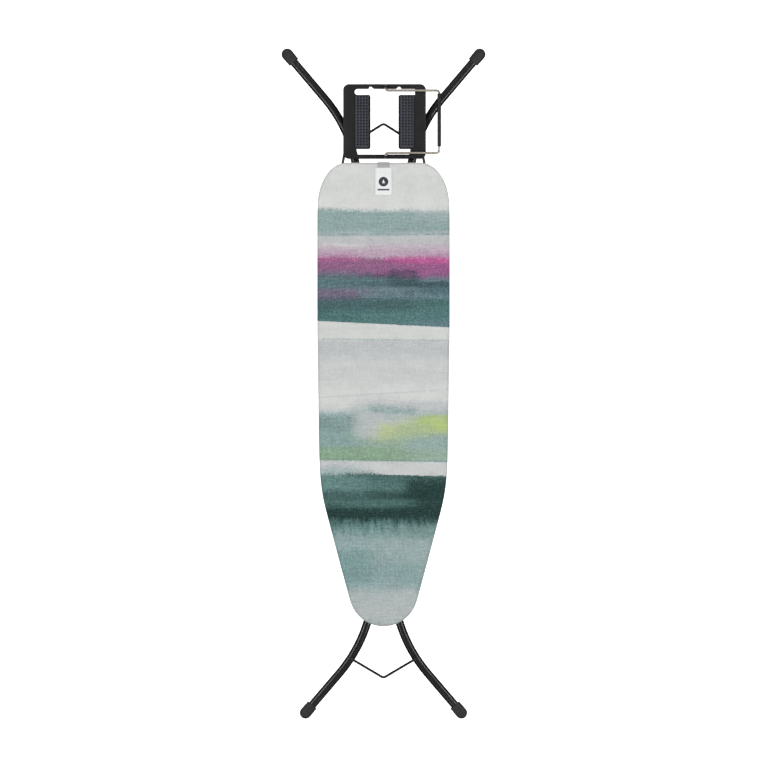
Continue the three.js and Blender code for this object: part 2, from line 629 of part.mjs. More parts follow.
function addIronRest(group) {
  const { left, right, low, high, corner } = REST;
  const plate = roundedRectangle(new THREE.Shape(), left, right, low, high, corner);
  plate.holes.push(restOpening());
  const edge = roundedRectangle(new THREE.Shape(), left, right, low, high, corner);
  const inside = new THREE.Path();
  roundedRectangle(inside, left + SHEET, right - SHEET, low + SHEET, high - SHEET, corner - SHEET);
  edge.holes.push(inside);
  const frame = join(flatPlate(plate, [REST_Z, REST_TOP_Z]), flatPlate(edge, [REST_Z - 2.4, REST_Z + 0.5]));
  add(group, 'iron_rest_frame', frame, satinPlate);
  const padZ = [REST_TOP_Z + GAP, REST_TOP_Z + 4.3];
  const padY = [PAD_LOW_Y + 4, PAD_HIGH_Y - 1.5];
  for (const [side, span] of [['left', [-67, -35.5]], ['right', [40.2, 72]]]) {
    const pad = roundedRectangle(new THREE.Shape(), ...span, ...padY, 3);
    add(group, `iron_rest_pad_${side}`, flatPlate(pad, padZ), blackRubber);
  }
  addRestRods(group);
}

// Two rods carry the rest. Each slants outwards into a socket under the rearmost rib.
function addRestRods(group) {
  const radius = 2.75;
  const z = 36;
  const inner = new THREE.Vector3(86.3, 585, z);
  const outer = new THREE.Vector3(111.9, 453, z);
  for (const [side, sign] of [['left', -1], ['right', 1]]) {
    const ends = [inner, outer].map((point) => point.clone().setX(sign * point.x));
    add(group, `iron_rest_rod_${side}`, tube(new StationPath(ends), radius, 0, 5), blackSteel);
    const eye = tube(new StationPath([ends[0], ends[1].clone().lerp(ends[0], -0.01)]), radius + GAP, 0, 5);
    const x = sign * 110.5;
    const block = box([x - 7, x + 7], [ribs.rest - 11, ribs.rest + 9], [z - 6, RIB_Z - GAP]);
    add(group, `iron_rest_socket_${side}`, cut(block, eye), darkPlastic);
  }
}

// The ends of the stop's wire turn in two clips on the plate.
function addStopClips(group) {
  for (const [name, y] of [['rear', [706.4, 711.4]], ['front', [538.6, 543.6]]]) {
    const clip = box([STOP_PIVOT_X - 5, STOP_PIVOT_X + 5], y, [REST_TOP_Z + GAP, STOP_Z + 4.6]);
    const eye = roundBarY(STOP_RADIUS + GAP, 0, [500, 750], STOP_PIVOT_X, STOP_Z, 10);
    add(group, `iron_stop_clip_${name}`, cut(clip, eye), blackSteel);
  }
}

// The iron stop is a wire bow. It lies flat beside the rest and swings up to hold the heel of an iron.
function addIronStop(group) {
  const bend = 6.5;
  const corners = [[STOP_PIVOT_X, 712.5, STOP_Z], [STOP_PIVOT_X, STOP_HIGH_Y, STOP_Z],
    [STOP_BAR_X, STOP_HIGH_Y, STOP_Z], [STOP_BAR_X, STOP_LOW_Y, STOP_Z],
    [STOP_PIVOT_X, STOP_LOW_Y, STOP_Z], [STOP_PIVOT_X, 537.5, STOP_Z]];
  add(group, 'iron_stop_wire', tube(bentPath(corners, bend, 5), STOP_RADIUS, 0, 4), nickelWire);
  const sleeve = roundBarY(4, STOP_RADIUS + GAP, [566.2, STOP_HIGH_Y - bend - GAP], STOP_BAR_X, STOP_Z, 10);
  add(group, 'iron_stop_sleeve', sleeve, darkPlastic);
}

// ---- Assembly ----

const board = new THREE.Group();
addCover(board);
addPaddingAndTop(board);
addRim(board);
addRibs(board);
addRails(board);
addLegHinge(board);
addLockHinge(board);
addLabel(board);
addIronRest(board);
addStopClips(board);

const outerLeg = new THREE.Group();
addOuterLeg(outerLeg);
addCrossing(outerLeg);

const innerLeg = new THREE.Group();
addInnerLeg(innerLeg);
addCrossbar(innerLeg);

const glides = new THREE.Group();
addGlides(glides);

const release = new THREE.Group();
addLockBar(release);
addReleaseLever(release);

const ironStop = new THREE.Group();
addIronStop(ironStop);

const ironingBoard = new THREE.Group();
ironingBoard.name = 'ironing_board';
ironingBoard.add(board, outerLeg, innerLeg, glides, release, ironStop);

export default ironingBoard;
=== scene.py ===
# %% [markdown]
# # A folding ironing board
# The board is folded flat, with its ironing face up. Steel tube legs cross under it, a wire stop swings on
# the iron rest, and a printed cotton cover is stretched over a felt pad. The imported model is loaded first.
# It gives every place and size, and it keeps whatever is right already. The pieces whose surface has to be
# finer are then made one by one, each with its own short cell.

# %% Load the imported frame
import json
import math

import bmesh
import bpy
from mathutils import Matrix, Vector, noise


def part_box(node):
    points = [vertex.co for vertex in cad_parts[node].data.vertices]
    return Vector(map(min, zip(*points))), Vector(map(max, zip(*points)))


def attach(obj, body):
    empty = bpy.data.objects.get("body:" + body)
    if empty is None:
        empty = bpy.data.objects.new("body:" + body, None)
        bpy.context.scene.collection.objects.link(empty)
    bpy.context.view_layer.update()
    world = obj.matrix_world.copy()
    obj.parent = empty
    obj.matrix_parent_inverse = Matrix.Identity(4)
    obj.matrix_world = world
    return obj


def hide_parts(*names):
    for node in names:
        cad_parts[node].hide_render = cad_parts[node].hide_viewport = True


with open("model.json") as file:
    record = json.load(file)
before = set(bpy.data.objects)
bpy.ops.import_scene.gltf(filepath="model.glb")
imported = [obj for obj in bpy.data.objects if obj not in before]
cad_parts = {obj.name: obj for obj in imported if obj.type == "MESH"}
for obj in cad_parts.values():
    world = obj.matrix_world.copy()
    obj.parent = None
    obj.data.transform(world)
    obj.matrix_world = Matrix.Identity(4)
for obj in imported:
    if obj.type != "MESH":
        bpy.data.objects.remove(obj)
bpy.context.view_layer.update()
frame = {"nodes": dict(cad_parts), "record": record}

# %% [markdown]
# ## Small tools
# Every operator acts on what is selected, so each step starts by choosing one piece, and inside edit mode
# by choosing faces, edges or points by where they are. A few helpers keep that short.

# %% Helpers for choosing and finishing
MM = 0.001
SIDES = (("left", -1), ("right", 1))
FINISHED = {}


def only(piece):
    """Makes one piece the only selected one, and the active one."""
    bpy.ops.object.select_all(action="DESELECT")
    piece.select_set(True)
    bpy.context.view_layer.objects.active = piece


def edit(piece):
    only(piece)
    bpy.ops.object.mode_set(mode="EDIT")


def leave():
    bpy.ops.object.mode_set(mode="OBJECT")


def take_in():
    """Brings the selected piece's place, turn and scale into its points."""
    bpy.ops.object.transform_apply(location=True, rotation=True, scale=True)


def choose(kind, test):
    """In edit mode, selects the points, edges or faces that pass a test."""
    mesh = bpy.context.edit_object.data
    bpy.ops.mesh.select_mode(type=kind)
    bm = bmesh.from_edit_mesh(mesh)
    for element in [*bm.faces, *bm.edges, *bm.verts]:
        element.select_set(False)
    for element in {"VERT": bm.verts, "EDGE": bm.edges, "FACE": bm.faces}[kind]:
        if test(element):
            element.select_set(True)
    bm.select_flush_mode()
    bmesh.update_edit_mesh(mesh)


def face_out():
    """In edit mode, turns every face to look outward."""
    bpy.ops.mesh.select_all(action="SELECT")
    bpy.ops.mesh.normals_make_consistent(inside=False)


def modify(piece, kind, **settings):
    """Adds a modifier and applies it at once."""
    only(piece)
    modifier = piece.modifiers.new(kind.lower(), kind)
    for key, value in settings.items():
        setattr(modifier, key, value)
    bpy.ops.object.modifier_apply(modifier=modifier.name)


def repeat(piece, count, step):
    """Copies a piece along a line, each copy one step further."""
    modify(piece, "ARRAY", count=count, use_relative_offset=False, use_constant_offset=True,
           constant_offset_displace=step)


def round_edges(piece, width, segments=2, angle=30):
    modify(piece, "BEVEL", width=width, segments=segments, limit_method="ANGLE",
           angle_limit=math.radians(angle))


def finish(piece, name, body, material, slot, replaces=(), angle=35):
    """Names a piece, brings its place into its mesh, shades it, and fixes it to its body of the frame."""
    only(piece)
    take_in()
    bpy.ops.object.shade_smooth_by_angle(angle=math.radians(angle))
    piece.name = name
    piece.data.name = name
    piece.data.materials.clear()
    piece.data.materials.append(material)
    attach(piece, body)
    if replaces:
        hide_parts(*replaces)
    FINISHED[name] = len(piece.data.polygons)


def join_pieces(pieces):
    """Joins several meshes into the first."""
    only(pieces[0])
    for piece in pieces:
        piece.select_set(True)
    bpy.ops.object.join()
    return bpy.context.object


def recalculate(piece):
    edit(piece)
    bpy.ops.mesh.select_all(action="SELECT")
    bpy.ops.mesh.remove_doubles(threshold=0.00001)
    bpy.ops.mesh.normals_make_consistent(inside=False)
    leave()


# %% [markdown]
# ## Finishes
# A finish is a set of shader nodes. What several finishes share, such as the fine grain of powder coat or
# the threads of a cloth, is made once as a node group with named inputs and outputs, and is then placed in
# each material with its own values. Everything is computed from the piece's own coordinates, so nothing
# slides when a leg unfolds.

# %% Node helpers
def srgb(red, green, blue):
    """A colour given as on a screen, 0 to 255, in the linear values that shaders use."""
    def linear(value):
        value /= 255
        return value / 12.92 if value <= 0.04045 else ((value + 0.055) / 1.055) ** 2.4
    return (linear(red), linear(green), linear(blue), 1)


class Wiring:
    """A node tree with short calls for adding and linking nodes."""

    def __init__(self, tree):
        self.tree = tree

    def node(self, kind, **settings):
        made = self.tree.nodes.new(kind)
        for key, value in settings.items():
            setattr(made, key, value)
        return made

    def put(self, socket, value):
        """Links a socket to another node's output, or gives it a plain value."""
        if isinstance(value, bpy.types.NodeSocket):
            self.tree.links.new(value, socket)
        else:
            socket.default_value = value

    def math(self, operation, a, b=0.0, c=0.0, clamp=False):
        made = self.node("ShaderNodeMath", operation=operation, use_clamp=clamp)
        for socket, value in zip(made.inputs, (a, b, c)):
            self.put(socket, value)
        return made.outputs[0]

    def vector(self, operation, a, b=(0, 0, 0)):
        made = self.node("ShaderNodeVectorMath", operation=operation)
        self.put(made.inputs[0], a)
        self.put(made.inputs[1], b)
        return made.outputs[0]

    def noise(self, where, scale, detail=2.0, roughness=0.5, stretch=None):
        if stretch is not None:
            where = self.vector("MULTIPLY", where, stretch)
        made = self.node("ShaderNodeTexNoise")
        self.put(made.inputs["Vector"], where)
        self.put(made.inputs["Scale"], scale)
        self.put(made.inputs["Detail"], detail)
        self.put(made.inputs["Roughness"], roughness)
        return made.outputs["Fac"]

    def spread(self, value, low, high, to_low=0.0, to_high=1.0, smooth=True):
        made = self.node("ShaderNodeMapRange", interpolation_type="SMOOTHSTEP" if smooth else "LINEAR")
        for socket, number in zip(made.inputs, (value, low, high, to_low, to_high)):
            self.put(socket, number)
        return made.outputs[0]

    def mix(self, share, a, b):
        made = self.node("ShaderNodeMix", data_type="RGBA")
        self.put(made.inputs[0], share)
        self.put(made.inputs[6], a)
        self.put(made.inputs[7], b)
        return made.outputs[2]

    def group(self, tree, **values):
        made = self.node("ShaderNodeGroup", node_tree=tree)
        for key, value in values.items():
            self.put(made.inputs[key.replace("_", " ")], value)
        return made.outputs


def new_group(name, inputs, outputs):
    """An empty node group. Inputs are (name, kind, value), outputs (name, kind)."""
    tree = bpy.data.node_groups.new(name, "ShaderNodeTree")
    for label, kind, value in inputs:
        socket = tree.interface.new_socket(label, in_out="INPUT", socket_type="NodeSocket" + kind)
        if value is not None:
            socket.default_value = value
    for label, kind in outputs:
        tree.interface.new_socket(label, in_out="OUTPUT", socket_type="NodeSocket" + kind)
    wiring = Wiring(tree)
    return wiring, wiring.node("NodeGroupInput").outputs, wiring.node("NodeGroupOutput").inputs


# %% Shared group: grain, the fine unevenness of a coat or a moulding
def grain_group():
    wiring, given, out = new_group(
        "Grain", [("Vector", "Vector", None), ("Scale", "Float", 900.0), ("Patches", "Float", 25.0)],
        [("Height", "Float"), ("Patch", "Float")])
    fine = wiring.noise(given["Vector"], given["Scale"], detail=3.0, roughness=0.6)
    wiring.put(out["Height"], fine)
    wiring.put(out["Patch"], wiring.noise(given["Vector"], given["Patches"], detail=4.0, roughness=0.55))
    return wiring.tree


# %% Shared group: rubbed edges, where a coat wears thin first
def wear_group():
    wiring, given, out = new_group(
        "Rubbed edges", [("Vector", "Vector", None), ("Amount", "Float", 0.5)], [("Mask", "Float")])
    convex = wiring.node("ShaderNodeNewGeometry").outputs["Pointiness"]
    edge = wiring.spread(convex, 0.53, 0.62)
    patchy = wiring.spread(wiring.noise(given["Vector"], 140.0, detail=5.0, roughness=0.7), 0.45, 0.68)
    wiring.put(out["Mask"], wiring.math("MULTIPLY", wiring.math("MULTIPLY", edge, patchy), given["Amount"]))
    return wiring.tree


# %% Shared group: plain weave, one thread over and one under
def weave_group():
    wiring, given, out = new_group(
        "Plain weave", [("Vector", "Vector", None), ("Threads", "Float", 900.0)],
        [("Height", "Float"), ("Slub", "Float")])
    across = wiring.node("ShaderNodeSeparateXYZ")
    wobble = wiring.noise(given["Vector"], 160.0, detail=2.0)
    wiring.put(across.inputs[0], given["Vector"])
    turns = wiring.math("MULTIPLY", given["Threads"], math.pi)
    shift = wiring.math("MULTIPLY", wobble, 2.2)
    waves = []
    for axis in ("X", "Y"):
        place = wiring.math("MULTIPLY_ADD", across.outputs[axis], turns, shift)
        waves.append(wiring.math("SINE", place))
    crossing = wiring.math("MULTIPLY", *waves)
    wiring.put(out["Height"], wiring.math("MULTIPLY_ADD", crossing, 0.5, 0.5))
    slub_x = wiring.noise(given["Vector"], 1.0, detail=2.0, stretch=(60, 900, 60))
    slub_y = wiring.noise(given["Vector"], 1.0, detail=2.0, stretch=(900, 60, 60))
    wiring.put(out["Slub"], wiring.math("MULTIPLY_ADD", slub_x, 0.5, wiring.math("MULTIPLY", slub_y, 0.5)))
    return wiring.tree


GRAIN = grain_group()
RUBBED = wear_group()
WEAVE = weave_group()


# %% A material with its shader and its coordinates ready
def new_material(name, uv=None):
    """Returns the material, its wiring, its shader and the coordinates that its patterns read."""
    material = bpy.data.materials.new(name)
    material.use_nodes = True
    wiring = Wiring(material.node_tree)
    shader = material.node_tree.nodes["Principled BSDF"]
    if uv:
        where = wiring.node("ShaderNodeUVMap", uv_map=uv).outputs[0]
    else:
        where = wiring.node("ShaderNodeTexCoord").outputs["Object"]
    return material, wiring, shader, where


def bump(wiring, shader, height, distance):
    made = wiring.node("ShaderNodeBump")
    made.inputs["Distance"].default_value = distance
    wiring.put(made.inputs["Height"], height)
    wiring.put(shader.inputs["Normal"], made.outputs[0])


def coated(name, colour, roughness, specular, grain=900.0, depth=0.00004, wear=0.3,
           worn=srgb(120, 120, 120), metallic=0.0):
    """Paint, powder coat, moulded plastic and bare metal: a colour with patches, grain and rubbed edges."""
    material, wiring, shader, where = new_material(name)
    surface = wiring.group(GRAIN, Vector=where, Scale=grain)
    rubbed = wiring.group(RUBBED, Vector=where, Amount=wear)["Mask"]
    darker = tuple(channel * 0.72 for channel in colour[:3]) + (1,)
    lighter = tuple(min(1, channel * 1.28) for channel in colour[:3]) + (1,)
    tone = wiring.mix(surface["Patch"], darker, lighter)
    wiring.put(shader.inputs["Base Color"], wiring.mix(rubbed, tone, worn))
    rough = wiring.spread(surface["Patch"], 0.3, 0.7, roughness * 0.86, roughness * 1.14, smooth=False)
    wiring.put(shader.inputs["Roughness"], rough)
    shader.inputs["Metallic"].default_value = metallic
    shader.inputs["Specular IOR Level"].default_value = specular
    bump(wiring, shader, surface["Height"], depth)
    return material


# %% [markdown]
# ## The camera, the floor and the lights
# The board is looked at straight from above, from far enough away that it shows almost no perspective. A
# long lens does that. The folded board hangs level at its working height over a plain pale sweep, so that
# the legs have room to open down to the floor, and no hard shadow touches its outline. Round black tubes
# mirror a pale floor at their edges and then look thin, so the floor answers reflected rays as if a dark
# card lay on it. Two long soft lamps lie along the sides, because the tubes are drawn only by the bright
# lines that such lamps leave on them, and two wide panels beyond nose and rest light the cloth.

# %% Camera
LENS = 150.0
SENSOR = 36.0
VIEW_WIDTH = 1.828
AIM_X, AIM_Y = 0.0012, -0.0010
camera_height = VIEW_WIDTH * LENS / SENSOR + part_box("cover")[1].z
bpy.ops.object.camera_add(location=(AIM_X, AIM_Y, camera_height), rotation=(0, 0, 0))
camera = bpy.context.object
camera.data.lens = LENS
camera.data.sensor_width = SENSOR
camera.data.clip_end = 50
bpy.context.scene.camera = camera
print("camera height", round(camera_height, 3))

# %% Floor and light
FLOOR_Z = -0.889  # where the feet stand when the legs are fully open
FLOOR_SIZE = 60
WORLD_GLOW = 0.34
BACKDROP_GLOW = 0.66  # added where the camera sees past the floor


def floor_material():
    material, wiring, shader, where = new_material("pale floor")
    rays = wiring.node("ShaderNodeLightPath").outputs
    wiring.put(shader.inputs["Base Color"], wiring.mix(rays["Is Glossy Ray"], srgb(249, 249, 249),
                                                       srgb(74, 74, 76)))
    shader.inputs["Roughness"].default_value = 0.9
    shader.inputs["Specular IOR Level"].default_value = 0.1
    shader.inputs["Emission Color"].default_value = (1, 1, 1, 1)
    wiring.put(shader.inputs["Emission Strength"], wiring.math("MULTIPLY", rays["Is Camera Ray"], 0.8))
    # from below the floor is clear, so that the underside of the board can be looked at
    clear = wiring.node("ShaderNodeBsdfTransparent")
    either = wiring.node("ShaderNodeMixShader")
    wiring.put(either.inputs[0], wiring.node("ShaderNodeNewGeometry").outputs["Backfacing"])
    wiring.put(either.inputs[1], shader.outputs[0])
    wiring.put(either.inputs[2], clear.outputs[0])
    wiring.put(material.node_tree.nodes["Material Output"].inputs["Surface"], either.outputs[0])
    return material


def lamp(name, place, turn, size, power):
    bpy.ops.object.light_add(type="AREA", location=place, rotation=turn)
    light = bpy.context.object
    light.name = name
    light.data.shape = "RECTANGLE"
    light.data.size, light.data.size_y = size
    light.data.energy = power


bpy.ops.mesh.primitive_plane_add(size=FLOOR_SIZE, location=(0, 0, FLOOR_Z))
floor = bpy.context.object
floor.name = "floor"
floor.data.materials.append(floor_material())
lamp("left strip", (-2.2, 0, 1.9), (0, math.radians(-49), 0), (0.28, 3.4), 38)
lamp("right strip", (2.2, 0, 1.9), (0, math.radians(49), 0), (0.28, 3.4), 38)
lamp("front panel", (0, -2.6, 2.2), (math.radians(50), 0, 0), (2.4, 0.9), 17)
lamp("rear panel", (0, 2.6, 2.2), (math.radians(-50), 0, 0), (2.4, 0.9), 17)
world = bpy.data.worlds.new("studio")
bpy.context.scene.world = world
world.use_nodes = True
world.node_tree.nodes["Background"].inputs["Color"].default_value = (1, 1, 1, 1)
studio = Wiring(world.node_tree)
seen = studio.node("ShaderNodeLightPath").outputs["Is Camera Ray"]
glow = studio.math("MULTIPLY_ADD", seen, BACKDROP_GLOW, WORLD_GLOW)
studio.put(world.node_tree.nodes["Background"].inputs["Strength"], glow)
bpy.context.scene.view_settings.view_transform = "Standard"

# %% [markdown]
# ## Coats, plastics, rubber and plating
# Powder coat on the tubes is glossy and almost smooth. The pressed plate of the iron rest has a flatter,
# satin coat with a fine orange peel. Caps, grips and sleeves are moulded plastic with an even grain, and
# the pads are rubber, which is greyer and duller than any of them. The wire stop is plated with nickel, the
# rods and the spring with zinc.

# %% Metal, plastic and rubber
POWDER_COAT = coated("glossy powder coat", srgb(15, 15, 16), 0.2, 0.5, grain=700, depth=0.00003, wear=0.25)
SATIN_COAT = coated("satin coated plate", srgb(29, 29, 30), 0.5, 0.28, grain=1100, depth=0.00006, wear=0.3)
MOULDED_BLACK = coated("moulded black plastic", srgb(26, 26, 27), 0.42, 0.34, grain=1500, depth=0.00005,
                       wear=0.1, worn=srgb(60, 60, 62))
CAP_BLACK = coated("moulded foot cap", srgb(48, 48, 49), 0.42, 0.36, grain=1500, depth=0.00005, wear=0.1,
                   worn=srgb(66, 66, 68))
PAD_RUBBER = coated("pad rubber", srgb(66, 69, 77), 0.66, 0.25, grain=1300, depth=0.00007, wear=0.0)
DOT_RUBBER = coated("pad dots", srgb(20, 20, 23), 0.6, 0.2, grain=1300, depth=0.00007, wear=0.0)
NICKEL = coated("nickel plated wire", srgb(186, 177, 166), 0.3, 0.5, grain=300, depth=0.00002, wear=0.0,
                metallic=1.0)
ZINC = coated("zinc plated steel", srgb(176, 180, 184), 0.36, 0.5, grain=500, depth=0.00004, wear=0.3,
              worn=srgb(120, 118, 112), metallic=1.0)
GALVANISED = coated("galvanised mesh", srgb(160, 164, 166), 0.5, 0.5, grain=260, depth=0.00005, wear=0.2,
                    worn=srgb(105, 105, 102), metallic=0.9)
# a finish with the slot that it fills
STEEL = (POWDER_COAT, "black_powder_coat")
PLASTIC = (MOULDED_BLACK, "black_plastic")
BRIGHT = (ZINC, "zinc_hardware")

# %% [markdown]
# ## Round tubes
# A bent tube is drawn the way a bender makes it. A ring of points is extruded for each straight run and
# spun about the bend's centre for each bend. The ring never has to be placed by hand again, and the bends
# are true arcs. A small table of runs and bends for each tube is all that differs between a leg and a wire.

# %% Sweep a ring along straight runs and bends
def ring(radius, place, heading, sides):
    """A circle of points standing square to a heading in the XY plane."""
    bpy.ops.object.select_all(action="DESELECT")
    bpy.ops.mesh.primitive_circle_add(vertices=sides, radius=radius, location=place,
                                      rotation=(math.pi / 2, 0, heading - math.pi / 2))
    take_in()
    return bpy.context.object


def swept(place, heading, radius, route, sides=24, capped=True):
    """A tube in a plane of constant height. The route is a list of ("run", length) and
    ("bend", radius, angle), with angles in radians, anticlockwise from above when positive."""
    piece = ring(radius, place, heading, sides)
    edit(piece)
    bpy.ops.mesh.select_all(action="SELECT")
    if capped:
        bpy.ops.mesh.edge_face_add()
    at = Vector(place)
    for step in route:
        ahead = Vector((math.cos(heading), math.sin(heading), 0))
        if step[0] == "run":
            bpy.ops.mesh.extrude_region_move(TRANSFORM_OT_translate={"value": ahead * step[1]})
            at += ahead * step[1]
            continue
        _, bend, angle = step
        left = Vector((-ahead.y, ahead.x, 0))
        centre = at + left * math.copysign(bend, angle)
        steps = max(4, round(abs(angle) * max(bend, 4 * radius) / (1.6 * radius)))
        bpy.ops.mesh.spin(steps=min(steps, 40), angle=-angle, center=centre, axis=(0, 0, 1))
        heading += angle
        side = Vector((math.sin(heading), -math.cos(heading), 0))
        at = centre + side * math.copysign(bend, angle)
    leave()
    recalculate(piece)
    return piece


# %% [markdown]
# ## The legs
# Each leg is a pair of tubes that run side by side under the board, part in a wide bend where they come out
# from under it, and end in foot caps. The outer pair passes outside the inner pair, so the legs can cross
# on one rod.

# %% Leg dimensions
TUBE_Z = 13.5 * MM
TUBE_RADIUS = 10 * MM
TUBE_WALL = 1.2 * MM
LEGS = {
    "outer_leg": {"x": 61.6 * MM, "bend_y": 468 * MM, "bend": 332 * MM, "splay": math.radians(40.3),
                  "end": 1},
    "inner_leg": {"x": 23.7 * MM, "bend_y": 472 * MM, "bend": 342 * MM, "splay": math.radians(40.5),
                  "end": -1},
}
FOOT_Y = 789 * MM
HINGE_Y = 379 * MM
TUBE_START_Y = HINGE_Y + 10 * MM


def foot_place(leg, side):
    """The centre of a foot cap's round end, and the length of the straight run that leads to it."""
    corner = leg["bend_y"] + leg["bend"] * math.tan(leg["splay"] / 2)
    reach = (FOOT_Y - corner) / math.cos(leg["splay"])
    x = leg["x"] + (FOOT_Y - corner) * math.tan(leg["splay"])
    straight = reach - leg["bend"] * math.tan(leg["splay"] / 2)
    return Vector((side * x, leg["end"] * FOOT_Y, TUBE_Z)), straight


def make_leg_tube(name, leg, side_name, side):
    _, last_run = foot_place(leg, side)
    end = leg["end"]
    start = (side * leg["x"], -end * TUBE_START_Y, TUBE_Z)
    turn = -side * end * leg["splay"]
    route = [("run", TUBE_START_Y), ("run", leg["bend_y"]), ("bend", leg["bend"], turn), ("run", last_run)]
    tube = swept(start, end * math.pi / 2, TUBE_RADIUS, route, sides=36, capped=False)
    modify(tube, "SOLIDIFY", thickness=TUBE_WALL, offset=-1)
    finish(tube, f"{name}_steel_tube_{side_name}", name, *STEEL, [f"{name}_tube_{side_name}"])


for leg_name, leg in LEGS.items():
    for side_name, side in SIDES:
        make_leg_tube(leg_name, leg, side_name, side)
print("leg tubes made")

# %% [markdown]
# ## The foot caps
# A cap is a moulded socket with a ball end. It starts as a sphere, half of which is cut away, and the open
# rim is extruded back over the tube with a small rolled collar. A plane then cuts the ball flat above and
# below, and a thin rib is laid on the upper flat in the shape of a long D, as the mould would leave it.

# %% Foot caps
CAP_RADIUS = 14 * MM
CAP_FLAT = 11.8 * MM
CAP_REST = 13.4 * MM
D_HALF, D_LENGTH, D_RIB = 4.9 * MM, 13 * MM, 0.75 * MM
# back along the tube, in mm, and the change of width: body, rolled collar, its rim, inside of the socket
SOCKET_STEPS = ((12.0, 1.0), (8.6, 0.955), (0.5, 1.03), (2.4, 1.0), (1.0, 0.95), (0.0, 0.82), (-8.0, 1.0))


def make_foot_cap(name, leg, side_name, side):
    place, _ = foot_place(leg, side)
    bpy.ops.object.select_all(action="DESELECT")
    bpy.ops.mesh.primitive_uv_sphere_add(segments=40, ring_count=20, radius=CAP_RADIUS,
                                         location=(0, 0, 0), rotation=(-math.pi / 2, 0, 0))
    cap = bpy.context.object
    take_in()
    edit(cap)
    bpy.ops.mesh.select_all(action="SELECT")
    bpy.ops.mesh.bisect(plane_co=(0, 0, 0), plane_no=(0, -1, 0), use_fill=False, clear_outer=True)
    choose("EDGE", lambda edge: all(abs(v.co.y) < 1e-6 for v in edge.verts))
    for length, scale in SOCKET_STEPS:
        bpy.ops.mesh.extrude_region_move(TRANSFORM_OT_translate={"value": (0, -length * MM, 0)})
        bpy.ops.transform.resize(value=(scale, 1, scale))
    for height in (CAP_FLAT, -CAP_REST):
        bpy.ops.mesh.select_all(action="SELECT")
        bpy.ops.mesh.bisect(plane_co=(0, 0, height), plane_no=(0, 0, math.copysign(1, height)),
                            use_fill=True, clear_outer=True)
    leave()
    # a raised D on the upper flat: a bow of thin round rib and a bar across its back
    bow = swept((-D_HALF, -D_LENGTH, CAP_FLAT), math.pi / 2, D_RIB,
                [("run", D_LENGTH), ("bend", D_HALF, -math.pi), ("run", D_LENGTH)], sides=12)
    bar = swept((-D_HALF, -D_LENGTH, CAP_FLAT), 0, D_RIB, [("run", D_HALF), ("run", D_HALF)], sides=12)
    cap = join_pieces([cap, bow, bar])
    turn = -side * leg["splay"] if leg["end"] > 0 else math.pi + side * leg["splay"]
    cap.rotation_euler = (0, 0, turn)
    cap.location = place
    only(cap)
    take_in()
    finish(cap, f"{name}_moulded_cap_{side_name}", name, CAP_BLACK, "black_plastic",
           [f"{name}_foot_cap_{side_name}"], angle=28)


for leg_name, leg in LEGS.items():
    for side_name, side in SIDES:
        make_foot_cap(leg_name, leg, side_name, side)
print("foot caps made")

# %% [markdown]
# ## The wire braces
# A bent wire ties the two tubes of a leg where they part. It is laid on the tubes and welded, so its ends
# are covered by a small bead of weld, which is modelled as a flattened lump.

# %% Braces
BRACE_RADIUS = 3 * MM
BRACE_BEND = 9 * MM
BEAD_RADIUS = 3.4 * MM
BRACE_Z = TUBE_Z + TUBE_RADIUS + BRACE_RADIUS + 0.3 * MM


def make_brace(body, end_x, end_y, apex_y):
    run = Vector((end_x, apex_y - end_y))
    slope = math.atan2(run.y, run.x)
    setback = BRACE_BEND * math.tan(abs(slope))
    route = [("run", run.length - setback), ("bend", BRACE_BEND, -2 * slope), ("run", run.length - setback)]
    wire = swept((-end_x, end_y, BRACE_Z), slope, BRACE_RADIUS, route, sides=16)
    beads = [wire]
    for side in (-1, 1):
        bpy.ops.object.select_all(action="DESELECT")
        bpy.ops.mesh.primitive_uv_sphere_add(segments=16, ring_count=10, radius=BEAD_RADIUS,
                                             location=(side * end_x, end_y, BRACE_Z - 1.6 * MM))
        bead = bpy.context.object
        bead.scale = (1.5, 1.1, 0.62)
        modify(bead, "SUBSURF", levels=1, render_levels=1)
        for vertex in bead.data.vertices:
            vertex.co *= 1 + 0.1 * noise.noise(vertex.co * 700)
        beads.append(bead)
    piece = join_pieces(beads)
    finish(piece, f"{body}_wire_brace", body, *STEEL, [f"{body}_brace"])


make_brace("outer_leg", 78.4 * MM, 572 * MM, 622 * MM)
make_brace("inner_leg", 78.4 * MM, -657.6 * MM, -704 * MM)

# %% [markdown]
# ## The edge of the board
# Cover, padding and mesh all follow one outline: a round nose, a straight taper, a soft shoulder, nearly
# parallel sides and elliptical rear corners. It is walked once in fine steps and then spaced evenly, so
# that cloth made from it has even squares.

# %% The outline as evenly spaced points
cover_low, cover_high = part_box("cover")
HALF_WIDTH, NOSE_Y, REAR_Y = cover_high.x, cover_low.y, cover_high.y
NOSE_RADIUS = 83 * MM
NOSE_TAPER = math.radians(14.9)
WAIST_X, WAIST_Y = 153.4 * MM, -176 * MM
BLEND_LENGTH = 120 * MM
WIDEST_Y = 115 * MM
REAR_CORNER_X, REAR_CORNER_Y = 68 * MM, 105 * MM


